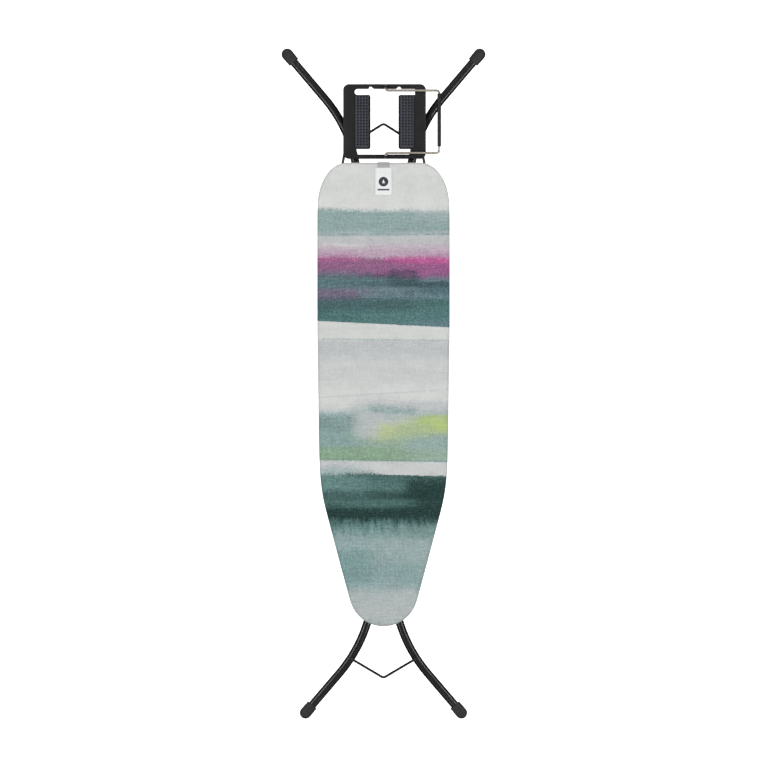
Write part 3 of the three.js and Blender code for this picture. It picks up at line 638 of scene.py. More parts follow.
def half_edge():
    """The right half of the edge, from the nose to the middle of the rear."""
    centre_y = NOSE_Y + NOSE_RADIUS
    points = []
    for step in range(41):
        angle = -math.pi / 2 + (math.pi / 2 - NOSE_TAPER) * step / 40
        points.append((NOSE_RADIUS * math.cos(angle), centre_y + NOSE_RADIUS * math.sin(angle)))
    tangent_x, tangent_y = points[-1]
    slant = math.tan(NOSE_TAPER)
    slope = (HALF_WIDTH - WAIST_X) / (WIDEST_Y - WAIST_Y)
    meet_y = (WAIST_X - slope * WAIST_Y - tangent_x + slant * tangent_y) / (slant - slope)
    first_y = WAIST_Y - BLEND_LENGTH
    for step in range(21):
        t = step / 20
        y = (1 - t) ** 2 * first_y + 2 * t * (1 - t) * meet_y + t * t * WAIST_Y
        x = ((1 - t) ** 2 * (tangent_x + slant * (first_y - tangent_y))
             + 2 * t * (1 - t) * (tangent_x + slant * (meet_y - tangent_y)) + t * t * WAIST_X)
        points.append((x, y))
    points.append((HALF_WIDTH, WIDEST_Y))
    for step in range(41):
        angle = math.pi / 2 * step / 40
        points.append((HALF_WIDTH - REAR_CORNER_X * (1 - math.cos(angle)),
                       REAR_Y - REAR_CORNER_Y * (1 - math.sin(angle))))
    points.append((0, REAR_Y))
    return [Vector(point) for point in points]


def even_edge(count):
    """(place, outward direction), evenly spaced round the whole edge, anticlockwise from the nose."""
    right = half_edge()
    loop = right + [Vector((-p.x, p.y)) for p in reversed(right[1:-1])]
    lengths = [0.0]
    for a, b in zip(loop, loop[1:] + loop[:1]):
        lengths.append(lengths[-1] + (b - a).length)
    places, at = [], 0
    for step in range(count):
        along = lengths[-1] * step / count
        while lengths[at + 1] <= along:
            at += 1
        share = (along - lengths[at]) / (lengths[at + 1] - lengths[at])
        places.append(loop[at].lerp(loop[(at + 1) % len(loop)], share))
    edge = []
    for i, place in enumerate(places):
        tangent = (places[(i + 1) % count] - places[i - 1]).normalized()
        edge.append((place, Vector((tangent.y, -tangent.x))))
    smooth = [(edge[i - 2][1] + edge[i - 1][1] * 2 + edge[i][1] * 3 + edge[(i + 1) % count][1] * 2
               + edge[(i + 2) % count][1]).normalized() for i in range(count)]
    return [(place, outward) for (place, _), outward in zip(edge, smooth)]


def board_skin(name, profile, columns, spokes, closed_below=False):
    """A skin that runs from the board's middle line out to its edge and on down a profile of
    (inset, height, flat inset). The flat inset is where that line of cloth lies when the cloth is spread
    out flat, and the UV map "cloth" holds that flat place in metres."""
    edge = even_edge(columns)
    first = profile[0]
    spine_low, spine_high = NOSE_Y + NOSE_RADIUS, REAR_Y - 90 * MM
    bm = bmesh.new()
    rings, flats = [], []
    for step in range(spokes):
        share = step / spokes
        row, flat_row = [], []
        for place, outward in edge:
            rim = place - outward * first[0]
            spine = Vector((0, min(max(rim.y, spine_low), spine_high)))
            point = spine.lerp(rim, share)
            row.append(bm.verts.new((point.x, point.y, first[1])))
            flat_row.append(point)
        rings.append(row)
        flats.append(flat_row)
    for inset, height, flat in profile:
        rings.append([bm.verts.new((*(place - outward * inset), height)) for place, outward in edge])
        flats.append([place - outward * flat for place, outward in edge])
    cloth = bm.loops.layers.uv.new("cloth")
    for r in range(len(rings) - 1):
        for i in range(columns):
            j = (i + 1) % columns
            face = bm.faces.new((rings[r][i], rings[r + 1][i], rings[r + 1][j], rings[r][j]))
            corners = (flats[r][i], flats[r + 1][i], flats[r + 1][j], flats[r][j])
            for loop, flat in zip(face.loops, corners):
                loop[cloth].uv = flat
    bmesh.ops.remove_doubles(bm, verts=bm.verts, dist=0.00002)
    if closed_below:
        bmesh.ops.holes_fill(bm, edges=bm.edges)
    bmesh.ops.recalc_face_normals(bm, faces=bm.faces)
    mesh = bpy.data.meshes.new(name)
    bm.to_mesh(mesh)
    bm.free()
    piece = bpy.data.objects.new(name, mesh)
    bpy.context.scene.collection.objects.link(piece)
    return piece


# %% [markdown]
# ## The printed cotton
# The print is a watercolour of level brush washes. It is built as a painter builds it. Paper white comes
# first, then broad washes that change along the board and differ a little between left, middle and right.
# Single strokes are laid over them. Last come the pigment's grain and a painted highlight on the tops of
# the canvas threads, which in patches also gives the cloth's real pale specks. The places are along the
# board in millimetres, and they are read from the cloth's flat coordinates, so that the print runs on over
# the edge.

# %% Paints and washes
PAINTS = {
    "chalk": (217, 218, 216), "fog": (210, 213, 210), "mist": (201, 204, 203), "cool": (190, 193, 194),
    "wash": (142, 165, 164), "wash green": (137, 161, 160), "pale": (162, 176, 177),
    "lilac": (190, 189, 192), "blush": (191, 176, 187), "pink": (186, 162, 180),
    "pink deep": (178, 138, 166), "rose": (148, 101, 136), "rose right": (180, 97, 146),
    "plum": (141, 93, 130), "plum right": (151, 90, 136), "fuchsia": (189, 86, 147),
    "mauve": (122, 104, 129), "dusk": (92, 110, 119), "night": (92, 82, 104), "orchid": (134, 94, 130),
    "sea": (86, 115, 119), "slate": (70, 96, 102), "slate dark": (56, 78, 84), "steel": (104, 123, 131),
    "harbour": (78, 104, 111), "grape": (106, 106, 122), "lagoon": (98, 123, 131), "deep": (68, 98, 99),
    "deep green": (74, 112, 110), "deep right": (80, 118, 117), "pigment": (66, 66, 86),
    "bone": (209, 211, 209), "film": (168, 182, 182), "speck": (122, 150, 149), "teal": (124, 150, 148),
    "teal pale": (136, 161, 159), "stone": (185, 190, 190), "lime": (184, 198, 140),
    "lime right": (178, 196, 124), "olive": (163, 181, 147), "moss": (134, 163, 136),
    "moss pale": (148, 170, 154), "sky": (146, 169, 167), "ivory": (200, 203, 202),
    "reef": (96, 130, 127), "pine": (64, 94, 91), "pine mid": (74, 107, 104), "pine dark": (34, 60, 57),
    "spray": (104, 136, 134), "surf": (134, 159, 159), "drift": (119, 150, 149), "haze": (146, 168, 168),
    "sand": (172, 181, 181), "pearl": (178, 184, 184), "ash": (163, 166, 166),
}

# height along the board in mm, then the paint at the left, in the middle and at the right
UPPER_WASHES = [
    (520, "chalk", "chalk", "chalk"), (470, "fog", "fog", "fog"), (425, "chalk", "chalk", "chalk"),
    (416, "fog", "fog", "fog"), (409, "wash", "wash", "pale"), (366, "wash", "wash", "wash green"),
    (358, "pale", "pale", "pale"), (350, "cool", "cool", "cool"), (334, "lilac", "lilac", "lilac"),
    (323, "blush", "blush", "blush"), (313, "pink", "pink", "pink"), (303, "pink deep", "pink", "pink deep"),
    (295, "rose", "rose", "rose right"), (285, "plum", "plum", "plum right"),
    (274, "plum", "plum", "plum right"), (265, "mauve", "plum", "plum right"),
    (256, "dusk", "night", "orchid"), (246, "sea", "sea", "lagoon"), (236, "sea", "slate", "slate"),
    (226, "dusk", "steel", "harbour"), (217, "grape", "steel", "harbour"),
    (207, "grape", "lagoon", "lagoon"), (195, "deep", "deep", "deep green"),
    (182, "deep", "deep", "deep green"), (166, "deep green", "deep right", "deep right"),
    (130, "deep green", "deep right", "lagoon"),
]
MIDDLE_WASHES = [
    (142, "bone", "bone", "bone"), (108, "bone", "bone", "bone"), (98, "cool", "cool", "cool"),
    (80, "cool", "cool", "cool"), (50, "mist", "mist", "mist"), (10, "mist", "mist", "mist"),
    (-20, "fog", "fog", "fog"), (-36, "fog", "mist", "fog"), (-47, "fog", "cool", "cool"),
    (-60, "mist", "film", "cool"), (-71, "film", "film", "film"), (-84, "teal pale", "stone", "olive"),
    (-100, "teal", "stone", "lime right"), (-118, "teal pale", "olive", "olive"),
    (-131, "teal pale", "olive", "sky"), (-145, "teal pale", "moss pale", "sky"),
    (-160, "moss", "moss", "moss pale"), (-178, "moss", "moss", "moss pale"), (-190, "moss", "moss", "sky"),
]
PAPER_WASHES = [
    (-180, "ivory", "ivory", "ivory"), (-198, "cool", "ivory", "ivory"), (-206, "film", "ivory", "ivory"),
    (-222, "film", "ivory", "ivory"),
]
LOWER_WASHES = [
    (-205, "film", "pine", "pine"), (-222, "reef", "pine mid", "pine"), (-234, "reef", "pine mid", "pine"),
    (-250, "reef", "pine mid", "pine dark"), (-266, "pine", "pine", "pine dark"),
    (-285, "pine mid", "pine mid", "pine"), (-300, "pine dark", "pine dark", "pine dark"),
    (-318, "pine dark", "pine dark", "pine dark"), (-328, "pine mid", "pine mid", "pine"),
    (-346, "spray", "spray", "spray"), (-364, "surf", "surf", "teal"), (-384, "haze", "haze", "haze"),
    (-402, "surf", "surf", "haze"), (-422, "drift", "surf", "haze"), (-458, "drift", "surf", "haze"),
    (-480, "surf", "haze", "haze"), (-500, "sand", "sand", "sand"), (-545, "pearl", "pearl", "pearl"),
    (-570, "sand", "sand", "sand"), (-582, "ash", "ash", "ash"),
]

# paint, middle x and y, half length, half height and softness in mm, slope, strength, and how broken it is
STROKES = [
    ("fuchsia", 92, 293, 78, 2.4, 8, -0.02, 0.75, 0.3), ("fuchsia", -108, 296, 42, 2, 7, 0.0, 0.4, 0.4),
    ("plum", -60, 283, 90, 4, 9, 0.01, 0.35, 0.3), ("chalk", -96, 330, 44, 1.6, 5, -0.05, 0.4, 0.8),
    ("teal", 0, 355, 165, 0.9, 2.4, 0.004, 0.75, 0.7), ("chalk", 60, 412, 110, 1.2, 4, 0.01, 0.35, 0.6),
    ("pigment", 46, 261, 24, 5, 8, 0.0, 0.7, 0.25), ("slate dark", 50, 242, 26, 7, 9, 0.0, 0.65, 0.2),
    ("slate dark", 104, 237, 44, 3, 7, 0.0, 0.5, 0.3), ("sea", -70, 240, 70, 3, 8, 0.02, 0.4, 0.3),
    ("mauve", -92, 218, 60, 3, 8, 0.0, 0.6, 0.3), ("lagoon", 12, 218, 64, 5, 9, 0.02, 0.5, 0.2),
    ("night", -112, 206, 46, 3, 8, 0.0, 0.4, 0.5), ("slate", -20, 189, 150, 3, 8, 0.01, 0.5, 0.4),
    ("deep right", 40, 160, 110, 6, 10, 0.02, 0.5, 0.3), ("film", 20, 104, 165, 0.8, 1.6, -0.012, 0.8, 0.3),
    ("cool", 0, -24, 165, 0.8, 2.4, 0.06, 0.6, 0.4), ("cool", 70, 28, 70, 1.0, 6, -0.02, 0.4, 0.6),
    ("speck", 22, -63, 46, 4, 8, -0.03, 0.6, 0.6), ("speck", -112, -80, 44, 4, 10, 0.0, 0.5, 0.5),
    ("teal", -102, -94, 28, 9, 14, 0.0, 0.6, 0.2), ("stone", -34, -100, 16, 22, 14, 0.0, 0.85, 0.1),
    ("lime", 26, -112, 24, 9, 13, 0.02, 0.8, 0.4), ("lime right", 120, -94, 22, 11, 13, 0.1, 0.85, 0.25),
    ("olive", 72, -116, 26, 10, 14, 0.05, 0.7, 0.3), ("moss pale", 84, -136, 50, 6, 14, 0.0, 0.4, 0.4),
    ("sky", 112, -146, 40, 9, 14, 0.0, 0.5, 0.2), ("moss", -60, -172, 100, 7, 10, 0.0, 0.5, 0.3),
    ("speck", 0, -182.6, 165, 0.7, 1.4, -0.018, 0.7, 0.3),
    ("pine", 20, -220, 120, 1.4, 3, -0.02, 0.6, 0.4),
    ("pine dark", 116, -268, 42, 30, 16, 0.0, 0.85, 0.1),
    ("pine dark", 40, -264, 70, 6, 9, 0.01, 0.6, 0.2), ("pine", -92, -268, 60, 4, 8, -0.02, 0.7, 0.3),
    ("reef", -20, -248, 60, 5, 10, 0.0, 0.35, 0.4), ("pine mid", -20, -286, 90, 4, 8, 0.02, 0.5, 0.3),
    ("drift", -86, -436, 34, 26, 24, 0.0, 0.7, 0.1), ("teal", 92, -354, 40, 9, 14, 0.0, 0.5, 0.3),
    ("sand", 60, -398, 60, 14, 24, 0.05, 0.3, 0.3), ("drift", 76, -470, 30, 10, 18, 0.0, 0.25, 0.3),
]


# %% The brush stroke group
def stroke_group():
    wiring, given, out = new_group(
        "Brush stroke",
        [("X", "Float", 0.0), ("Y", "Float", 0.0), ("Ragged", "Float", 0.0), ("Gaps", "Float", 1.0),
         ("Middle X", "Float", 0.0), ("Middle Y", "Float", 0.0), ("Half length", "Float", 50.0),
         ("Half height", "Float", 5.0), ("Softness", "Float", 8.0), ("Slope", "Float", 0.0),
         ("Strength", "Float", 0.5), ("Broken", "Float", 0.0)],
        [("Mask", "Float")])
    across = wiring.math("SUBTRACT", given["X"], given["Middle X"])
    lift = wiring.math("MULTIPLY", across, given["Slope"])
    along = wiring.math("SUBTRACT", wiring.math("SUBTRACT", given["Y"], given["Middle Y"]), lift)
    rough = wiring.math("MULTIPLY", given["Ragged"], given["Softness"])
    past_end = wiring.math("SUBTRACT", wiring.math("ABSOLUTE", across), given["Half length"])
    past_side = wiring.math("SUBTRACT", wiring.math("ABSOLUTE", along), given["Half height"])
    wide_soft = wiring.math("MULTIPLY", given["Softness"], 2.4)
    end = wiring.math("DIVIDE", wiring.math("ADD", past_end, rough), wide_soft)
    side = wiring.math("DIVIDE", wiring.math("ADD", past_side, rough), given["Softness"])
    inside = wiring.math("MULTIPLY", wiring.spread(end, 0.0, 1.0, 1.0, 0.0),
                         wiring.spread(side, 0.0, 1.0, 1.0, 0.0))
    lost = wiring.math("MULTIPLY", wiring.math("SUBTRACT", 1.0, given["Gaps"]), given["Broken"])
    kept = wiring.math("MULTIPLY", inside, wiring.math("SUBTRACT", 1.0, lost))
    wiring.put(out["Mask"], wiring.math("MULTIPLY", kept, given["Strength"]))
    return wiring.tree


STROKE = stroke_group()


# %% The printed cotton material
def wash_ramp(wiring, place, washes, column):
    """A ramp of one column's paints. The place is in millimetres along the board."""
    high, low = washes[0][0], washes[-1][0]
    share = wiring.math("DIVIDE", wiring.math("SUBTRACT", high, place), high - low, clamp=True)
    ramp = wiring.node("ShaderNodeValToRGB")
    ramp.color_ramp.interpolation = "LINEAR"
    stops = ramp.color_ramp.elements
    while len(stops) < len(washes):
        stops.new(0.5)
    for stop, wash in zip(stops, washes):
        stop.position = (high - wash[0]) / (high - low)
        stop.color = srgb(*PAINTS[wash[column]])
    wiring.put(ramp.inputs[0], share)
    return ramp.outputs[0]


def printed_cotton(name):
    material, wiring, shader, where = new_material(name, uv="cloth")
    split = wiring.node("ShaderNodeSeparateXYZ")
    wiring.put(split.inputs[0], where)
    x = wiring.math("MULTIPLY", split.outputs["X"], 1000)
    y = wiring.math("MULTIPLY", split.outputs["Y"], 1000)

    def unrest(size, **settings):
        """Noise opened up to run from minus size to plus size."""
        return wiring.spread(wiring.noise(where, 1.0, **settings), 0.32, 0.68, -size, size, smooth=False)

    def add(*values):
        total = values[0]
        for value in values[1:]:
            total = wiring.math("ADD", total, value)
        return total

    flow = unrest(1.0, detail=3.0, roughness=0.6, stretch=(6, 11, 1))
    medium = unrest(1.0, detail=4.0, roughness=0.7, stretch=(64, 52, 1))
    fine = unrest(1.0, detail=2.0, roughness=0.65, stretch=(250, 235, 1))
    drip = unrest(1.0, detail=4.0, roughness=0.72, stretch=(105, 19, 1))
    fray = add(wiring.math("MULTIPLY", medium, 3.0), wiring.math("MULTIPLY", fine, 3.8))
    loose = add(y, wiring.math("MULTIPLY", flow, 3.2), fray)
    runs = wiring.math("MULTIPLY", drip, wiring.spread(y, -345.0, -285.0, 11.0, 1.5))
    sideways = wiring.math("MULTIPLY_ADD", flow, 26.0, wiring.math("MULTIPLY_ADD", medium, 9.0, x))
    left_share = wiring.spread(sideways, -108.0, -14.0)
    right_share = wiring.spread(sideways, 12.0, 106.0)
    sections = []
    for washes, place in ((UPPER_WASHES, loose), (MIDDLE_WASHES, loose), (PAPER_WASHES, loose),
                          (LOWER_WASHES, add(loose, runs))):
        columns = [wash_ramp(wiring, place, washes, column) for column in (1, 2, 3)]
        half = wiring.mix(left_share, columns[0], columns[1])
        sections.append(wiring.mix(right_share, half, columns[2]))
    # three edges where the brush met dry paper: all crisp, but the lowest one runs out on the left
    crisp_fray = add(wiring.math("MULTIPLY", medium, 0.8), wiring.math("MULTIPLY", fine, 0.6))
    colour = sections[3]
    for section, height, slope, runs_out in ((2, -217.0, 0.0277, True), (1, -184.6, 0.0183, False),
                                             (0, 141.4, 0.05, False)):
        level = add(wiring.math("MULTIPLY_ADD", x, slope, y), crisp_fray)
        if runs_out:
            wet = wiring.spread(sideways, -45.0, 5.0, 1.0, 0.0)
            run_out = add(wiring.math("MULTIPLY", fray, 1.1), -4.0)
            level = add(level, wiring.math("MULTIPLY", wet, run_out))
            softness = wiring.math("MULTIPLY_ADD", wet, 13.0, 1.2)
        else:
            softness = 1.2
        lifted = wiring.math("DIVIDE", wiring.math("SUBTRACT", level, height), softness)
        above = wiring.math("ADD", lifted, 0.5, clamp=True)
        colour = wiring.mix(above, colour, sections[section])
    ragged = add(wiring.math("MULTIPLY", medium, 0.35), wiring.math("MULTIPLY", fine, 0.4), -0.1)
    breaks = wiring.noise(where, 1.0, detail=4.0, roughness=0.75, stretch=(60, 130, 1))
    gaps = wiring.spread(breaks, 0.44, 0.56)
    for paint, middle_x, middle_y, half_length, half_height, softness, slope, strength, broken in STROKES:
        mask = wiring.group(STROKE, X=x, Y=y, Ragged=ragged, Gaps=gaps, Middle_X=middle_x,
                            Middle_Y=middle_y, Half_length=half_length, Half_height=half_height,
                            Softness=softness, Slope=slope, Strength=strength, Broken=broken)["Mask"]
        colour = wiring.mix(mask, colour, srgb(*PAINTS[paint]))
    # pigment settles in specks, more in the dark washes, and the brush and the canvas leave their lines
    tone = wiring.node("ShaderNodeRGBToBW")
    wiring.put(tone.inputs[0], colour)
    wetness = wiring.spread(tone.outputs[0], 0.04, 0.66, 1.0, 0.13, smooth=False)
    # the washes dry unevenly: water pushes the pigment aside in small pale blooms
    damp = wiring.noise(where, 1.0, detail=4.0, roughness=0.8, stretch=(150, 190, 1))
    blooms = wiring.spread(damp, 0.5, 0.66)
    wash_share = wiring.math("MULTIPLY", wiring.spread(tone.outputs[0], 0.03, 0.3, 0.03, 0.3),
                             wiring.spread(tone.outputs[0], 0.4, 0.62, 1.0, 0.0))
    blooming = wiring.math("MULTIPLY", blooms, wash_share)
    colour = wiring.mix(blooming, colour, srgb(196, 208, 206))
    speckle = add(unrest(0.2, detail=2.0, roughness=0.75, stretch=(330, 330, 1)),
                  wiring.math("MULTIPLY", fine, 0.2))
    brushed = unrest(0.1, detail=4.0, roughness=0.65, stretch=(6, 150, 1))
    canvas = add(unrest(0.12, detail=1.0, stretch=(40, 300, 1)),
                 unrest(0.12, detail=1.0, stretch=(300, 40, 1)))
    cloud = unrest(0.05, detail=4.0, roughness=0.6, stretch=(26, 34, 1))
    mottle = unrest(0.13, detail=3.0, roughness=0.7, stretch=(120, 140, 1))
    value = add(wiring.math("MULTIPLY", wetness, add(speckle, brushed, canvas, mottle)), cloud, 0.985)
    shade = wiring.node("ShaderNodeHueSaturation")
    wiring.put(shade.inputs["Color"], colour)
    wiring.put(shade.inputs["Value"], value)
    woven = wiring.group(WEAVE, Vector=where, Threads=1250.0)
    # painted highlight: the tops of the canvas threads are mixed towards a pale colour in patches, and these
    # patches also give the cloth's real pale specks
    bare = wiring.spread(wiring.noise(where, 230.0, detail=3.0, roughness=0.8), 0.54, 0.66)
    thread_highlights_and_specks = wiring.math("MULTIPLY", wiring.spread(woven["Height"], 0.4, 1.0), bare)
    print_colour = wiring.mix(wiring.math("MULTIPLY", thread_highlights_and_specks, 0.24), shade.outputs[0], srgb(214, 218, 216))
    wiring.put(shader.inputs["Base Color"], print_colour)
    wiring.put(shader.inputs["Roughness"], wiring.spread(woven["Slub"], 0.3, 0.7, 0.84, 0.94, smooth=False))
    shader.inputs["Specular IOR Level"].default_value = 0.1
    shader.inputs["Sheen Weight"].default_value = 0.04
    shader.inputs["Sheen Roughness"].default_value = 0.5
    relief = add(woven["Height"], woven["Slub"])
    bump(wiring, shader, relief, 0.00012)
    return material


PRINTED_COTTON = printed_cotton("printed cotton")

# %% [markdown]
# ## The cover
# The cover is one sheet of cotton, cut larger than the board. It runs over the padding, down the side and
# under the rim, where a hem with an elastic in it gathers it. The sheet is made as rings that follow the
# outline, and a short cloth simulation then blows it tight: the face stays where the padding holds it and
# the hem where the elastic holds it. No point may move further than a small cap, so the cover stays the
# size that it is.

# %% The cover's profile, from the face to the hem
CLOTH = 0.7 * MM
EDGE_RADIUS = 7.4 * MM
UNDER_RADIUS = 3.2 * MM
SIDE_INSET = 0.5 * MM
FACE = cover_high.z - 0.25 * MM
UNDERSIDE = cover_low.z + 0.5 * MM


def cover_profile():
    rows = [(22 * MM, FACE), (15 * MM, FACE)]
    for step in range(7):
        angle = math.pi / 2 * step / 6
        rows.append((SIDE_INSET + EDGE_RADIUS * (1 - math.sin(angle)),
                     FACE - EDGE_RADIUS * (1 - math.cos(angle))))
    rows.append((SIDE_INSET, (FACE - EDGE_RADIUS + UNDERSIDE + UNDER_RADIUS) / 2))
    for step in range(4):
        angle = math.pi / 2 * step / 3
        rows.append((SIDE_INSET + UNDER_RADIUS * (1 - math.cos(angle)),
                     UNDERSIDE + UNDER_RADIUS * (1 - math.sin(angle))))
    for inset, drop in ((9, 0), (14, 0), (17, 0), (18.4, 0.9), (20, 1.5), (22, 1.5), (23.6, 0.8),
                        (24, -0.2)):
        rows.append((inset * MM, UNDERSIDE - drop * MM))
    profile, flat = [], rows[0][0]
    for (inset, height), before in zip(rows, [rows[0]] + rows):
        flat -= math.hypot(inset - before[0], height - before[1])
        profile.append((inset, height, flat))
    return profile


# %% Blow the sheet tight
def tighten(piece, pinned, pressure, frames, cap):
    """A short cloth simulation with no gravity. Pinned gives each point's hold, cap how far it may move."""
    before = [vertex.co.copy() for vertex in piece.data.vertices]
    hold = piece.vertex_groups.new(name="hold")
    for vertex in piece.data.vertices:
        hold.add([vertex.index], pinned(vertex.co), "REPLACE")
    only(piece)
    cloth = piece.modifiers.new("cloth", "CLOTH")
    settings = cloth.settings
    settings.quality = 4
    settings.mass = 0.25
    settings.tension_stiffness = settings.compression_stiffness = 25
    settings.bending_stiffness = 0.6
    settings.use_pressure = True
    settings.uniform_pressure_force = pressure
    settings.vertex_group_mass = "hold"
    settings.pin_stiffness = 4
    settings.effector_weights.gravity = 0
    cloth.collision_settings.use_collision = False
    scene = bpy.context.scene
    scene.frame_start, scene.frame_end = 1, frames
    cloth.point_cache.frame_start, cloth.point_cache.frame_end = 1, frames
    for number in range(1, frames + 1):
        scene.frame_set(number)
    bpy.ops.object.modifier_apply(modifier=cloth.name)
    moved = 0.0
    for vertex, start in zip(piece.data.vertices, before):
        shift = vertex.co - start
        if shift.length > cap:
            vertex.co = start + shift.normalized() * cap
        moved = max(moved, (vertex.co - start).length)
    piece.vertex_groups.clear()
    scene.frame_set(1)
    print(piece.name, "moved at most", round(moved * 1000, 2), "mm")


COVER_COLUMNS, COVER_SPOKES = 300, 12


def gathers(x, y):
    """How far the hem is puckered down or up at a place, most round the nose and the rear corners."""
    corner = max(0.0, 1 - (y - NOSE_Y) / 0.22) + max(0.0, 1 - (REAR_Y - y) / 0.13)
    around = math.atan2(x, -(y - NOSE_Y - NOSE_RADIUS))
    folds = 0.5 + 0.5 * abs(math.sin(around * 40))
    return (0.0005 + 0.0016 * min(1, corner)) * noise.noise(Vector((x * 95, y * 95, 3.0))) * folds


def settle(piece):
    """The small unevenness that padding and elastic leave: soft waves in the face, gathers at the hem."""
    for vertex in piece.data.vertices:
        co = vertex.co
        if co.z > FACE - 1 * MM:
            co.z += 0.00028 * noise.noise(Vector((co.x * 14, co.y * 7, 0)))
        if co.z < UNDERSIDE + 2 * MM:
            co.z += gathers(co.x, co.y)


def hem_stitches(count, inset, drop):
    """A row of stitches round the hem: the points of one are set at every place of the row."""
    bpy.ops.object.select_all(action="DESELECT")
    bpy.ops.mesh.primitive_uv_sphere_add(segments=6, ring_count=4, radius=0.3 * MM, location=(0, 0, 0))
    row = bpy.context.object
    row.scale = (4.0, 1, 1)
    take_in()
    shape = bmesh.new()
    shape.from_mesh(row.data)
    made = bmesh.new()
    for place, outward in even_edge(count):
        at = place - outward * inset
        height = UNDERSIDE - drop + gathers(at.x, at.y)
        along = Vector((-outward.y, outward.x))
        points = [made.verts.new((at.x + along.x * v.co.x + outward.x * v.co.y,
                                  at.y + along.y * v.co.x + outward.y * v.co.y, height + v.co.z))
                  for v in shape.verts]
        for face in shape.faces:
            made.faces.new([points[v.index] for v in face.verts])
    made.to_mesh(row.data)
    made.free()
    shape.free()
    return row


cover = board_skin("cover cloth", cover_profile(), columns=COVER_COLUMNS, spokes=COVER_SPOKES)
def cover_hold(co):
    if co.z > FACE - 0.1 * MM:
        return 1.0
    return 1.0 if co.z < UNDERSIDE - 0.5 * MM else 0.02
tighten(cover, cover_hold, pressure=2.0, frames=16, cap=0.8 * MM)
settle(cover)
modify(cover, "SUBSURF", levels=1, render_levels=1)
modify(cover, "SOLIDIFY", thickness=CLOTH, offset=-1)
finish(cover, "printed_cover", "board", PRINTED_COTTON, "printed_cotton", ["cover"], angle=60)
wrap = cover_profile()[-1][2]
THREAD = coated("pale cotton thread", srgb(206, 208, 205), 0.8, 0.15, grain=900, wear=0.0)
stitch_row = hem_stitches(count=620, inset=17.4 * MM, drop=0.75 * MM)
recalculate(stitch_row)
finish(stitch_row, "cover_hem_stitches", "board", THREAD, "printed_cotton")

# %% [markdown]
# ## Under the cover: felt and expanded mesh
# The felt is one soft slab with rounded shoulders, made with the same rings as the cover and then closed
# below. The mesh under it lets steam through. A grid turned by 45 degrees and stretched to twice its length
# is already a net of diamonds. Each diamond is inset and its middle deleted, which leaves the strands, and
# Solidify gives them the thickness of the steel.

# %% Felt and galvanised mesh
def felt_material():
    material, wiring, shader, where = new_material("needled felt")
    fibres = wiring.noise(where, 1.0, detail=5.0, roughness=0.8, stretch=(700, 260, 500))
    clumps = wiring.noise(where, 55.0, detail=4.0, roughness=0.6)
    tone = wiring.math("MULTIPLY_ADD", fibres, 0.6, wiring.math("MULTIPLY", clumps, 0.4))
    wiring.put(shader.inputs["Base Color"], wiring.mix(tone, srgb(168, 164, 156), srgb(226, 223, 216)))
    wiring.put(shader.inputs["Roughness"], wiring.spread(fibres, 0.3, 0.7, 0.9, 1.0))
    shader.inputs["Specular IOR Level"].default_value = 0.1
    shader.inputs["Sheen Weight"].default_value = 0.2
    bump(wiring, shader, tone, 0.0006)
    return material


FELT = felt_material()
# from the face round the shoulder to the underside, in mm
pad_profile = [(inset * MM, height * MM, inset * MM) for inset, height in (
    (24, 64.0), (14, 64.0), (8.5, 63.7), (6.2, 62.9), (4.6, 61.7), (3.7, 60.2), (3.4, 58.6), (3.8, 58.15),
    (6, 58.1), (30, 58.1))]
pad = board_skin("felt", pad_profile, columns=220, spokes=10, closed_below=True)
for vertex in pad.data.vertices:
    if vertex.co.z > 63.5 * MM:
        vertex.co.z += 0.0002 * noise.noise(vertex.co * 40)
finish(pad, "felt_underlay", "board", FELT, "felt_padding", ["underlay_pad"], angle=50)


def inside_edge(margin):
    """A test for points that lie inside the outline by a margin."""
    loop = [place - outward * margin for place, outward in even_edge(120)]

    def test(point):
        within = False
        for a, b in zip(loop, loop[1:] + loop[:1]):
            if (a.y > point.y) != (b.y > point.y):
                if point.x < a.x + (b.x - a.x) * (point.y - a.y) / (b.y - a.y):
                    within = not within
        return within
    return test


mesh_low, mesh_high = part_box("mesh_top")
STRAND = 1.0 * MM
NET_CELLS, NET_SIZE = 126, 0.891
BORDER_OUT, BORDER_IN = 3.4 * MM, 14 * MM
bpy.ops.object.select_all(action="DESELECT")
bpy.ops.mesh.primitive_grid_add(x_subdivisions=NET_CELLS, y_subdivisions=NET_CELLS, size=NET_SIZE,
                                rotation=(0, 0, math.pi / 4), location=(0, 0, 0))
net = bpy.context.object
take_in()
net.scale = (1, 2, 1)
net.location = (0, (mesh_low.y + mesh_high.y) / 2, mesh_high.z)
take_in()
edit(net)
well_inside = inside_edge(9 * MM)
choose("FACE", lambda face: not well_inside(face.calc_center_median()))
bpy.ops.mesh.delete(type="FACE")
bpy.ops.mesh.select_all(action="SELECT")
bpy.ops.mesh.inset(thickness=STRAND, depth=0, use_individual=True)
bpy.ops.mesh.delete(type="FACE")
leave()
modify(net, "SOLIDIFY", thickness=mesh_high.z - mesh_low.z, offset=-1)
border = board_skin("border", [(BORDER_OUT, mesh_high.z, 0), (BORDER_IN, mesh_high.z, 0)],
                    columns=200, spokes=1)
edit(border)
choose("FACE", lambda face: all(abs(v.co.z - mesh_high.z) < 1e-6 for v in face.verts)
       and inside_edge(13.9 * MM)(face.calc_center_median()) or face.calc_area() > 0.0003)
bpy.ops.mesh.delete(type="FACE")
leave()
modify(border, "SOLIDIFY", thickness=mesh_high.z - mesh_low.z, offset=-1)
net = join_pieces([net, border])
finish(net, "expanded_mesh_top", "board", GALVANISED, "galvanised_mesh", ["mesh_top"], angle=30)

# %% [markdown]
# ## Pressed and folded steel
# Ribs, rails, brackets, lugs and the plate of the iron rest are cut and folded from sheet. The packed
# shapes are right, but their edges are knife sharp, and real ones catch a thin line of light. So each of
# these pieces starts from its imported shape. Its loose triangles are merged, flat faces are dissolved into
# one, and the edges are given a small bevel.

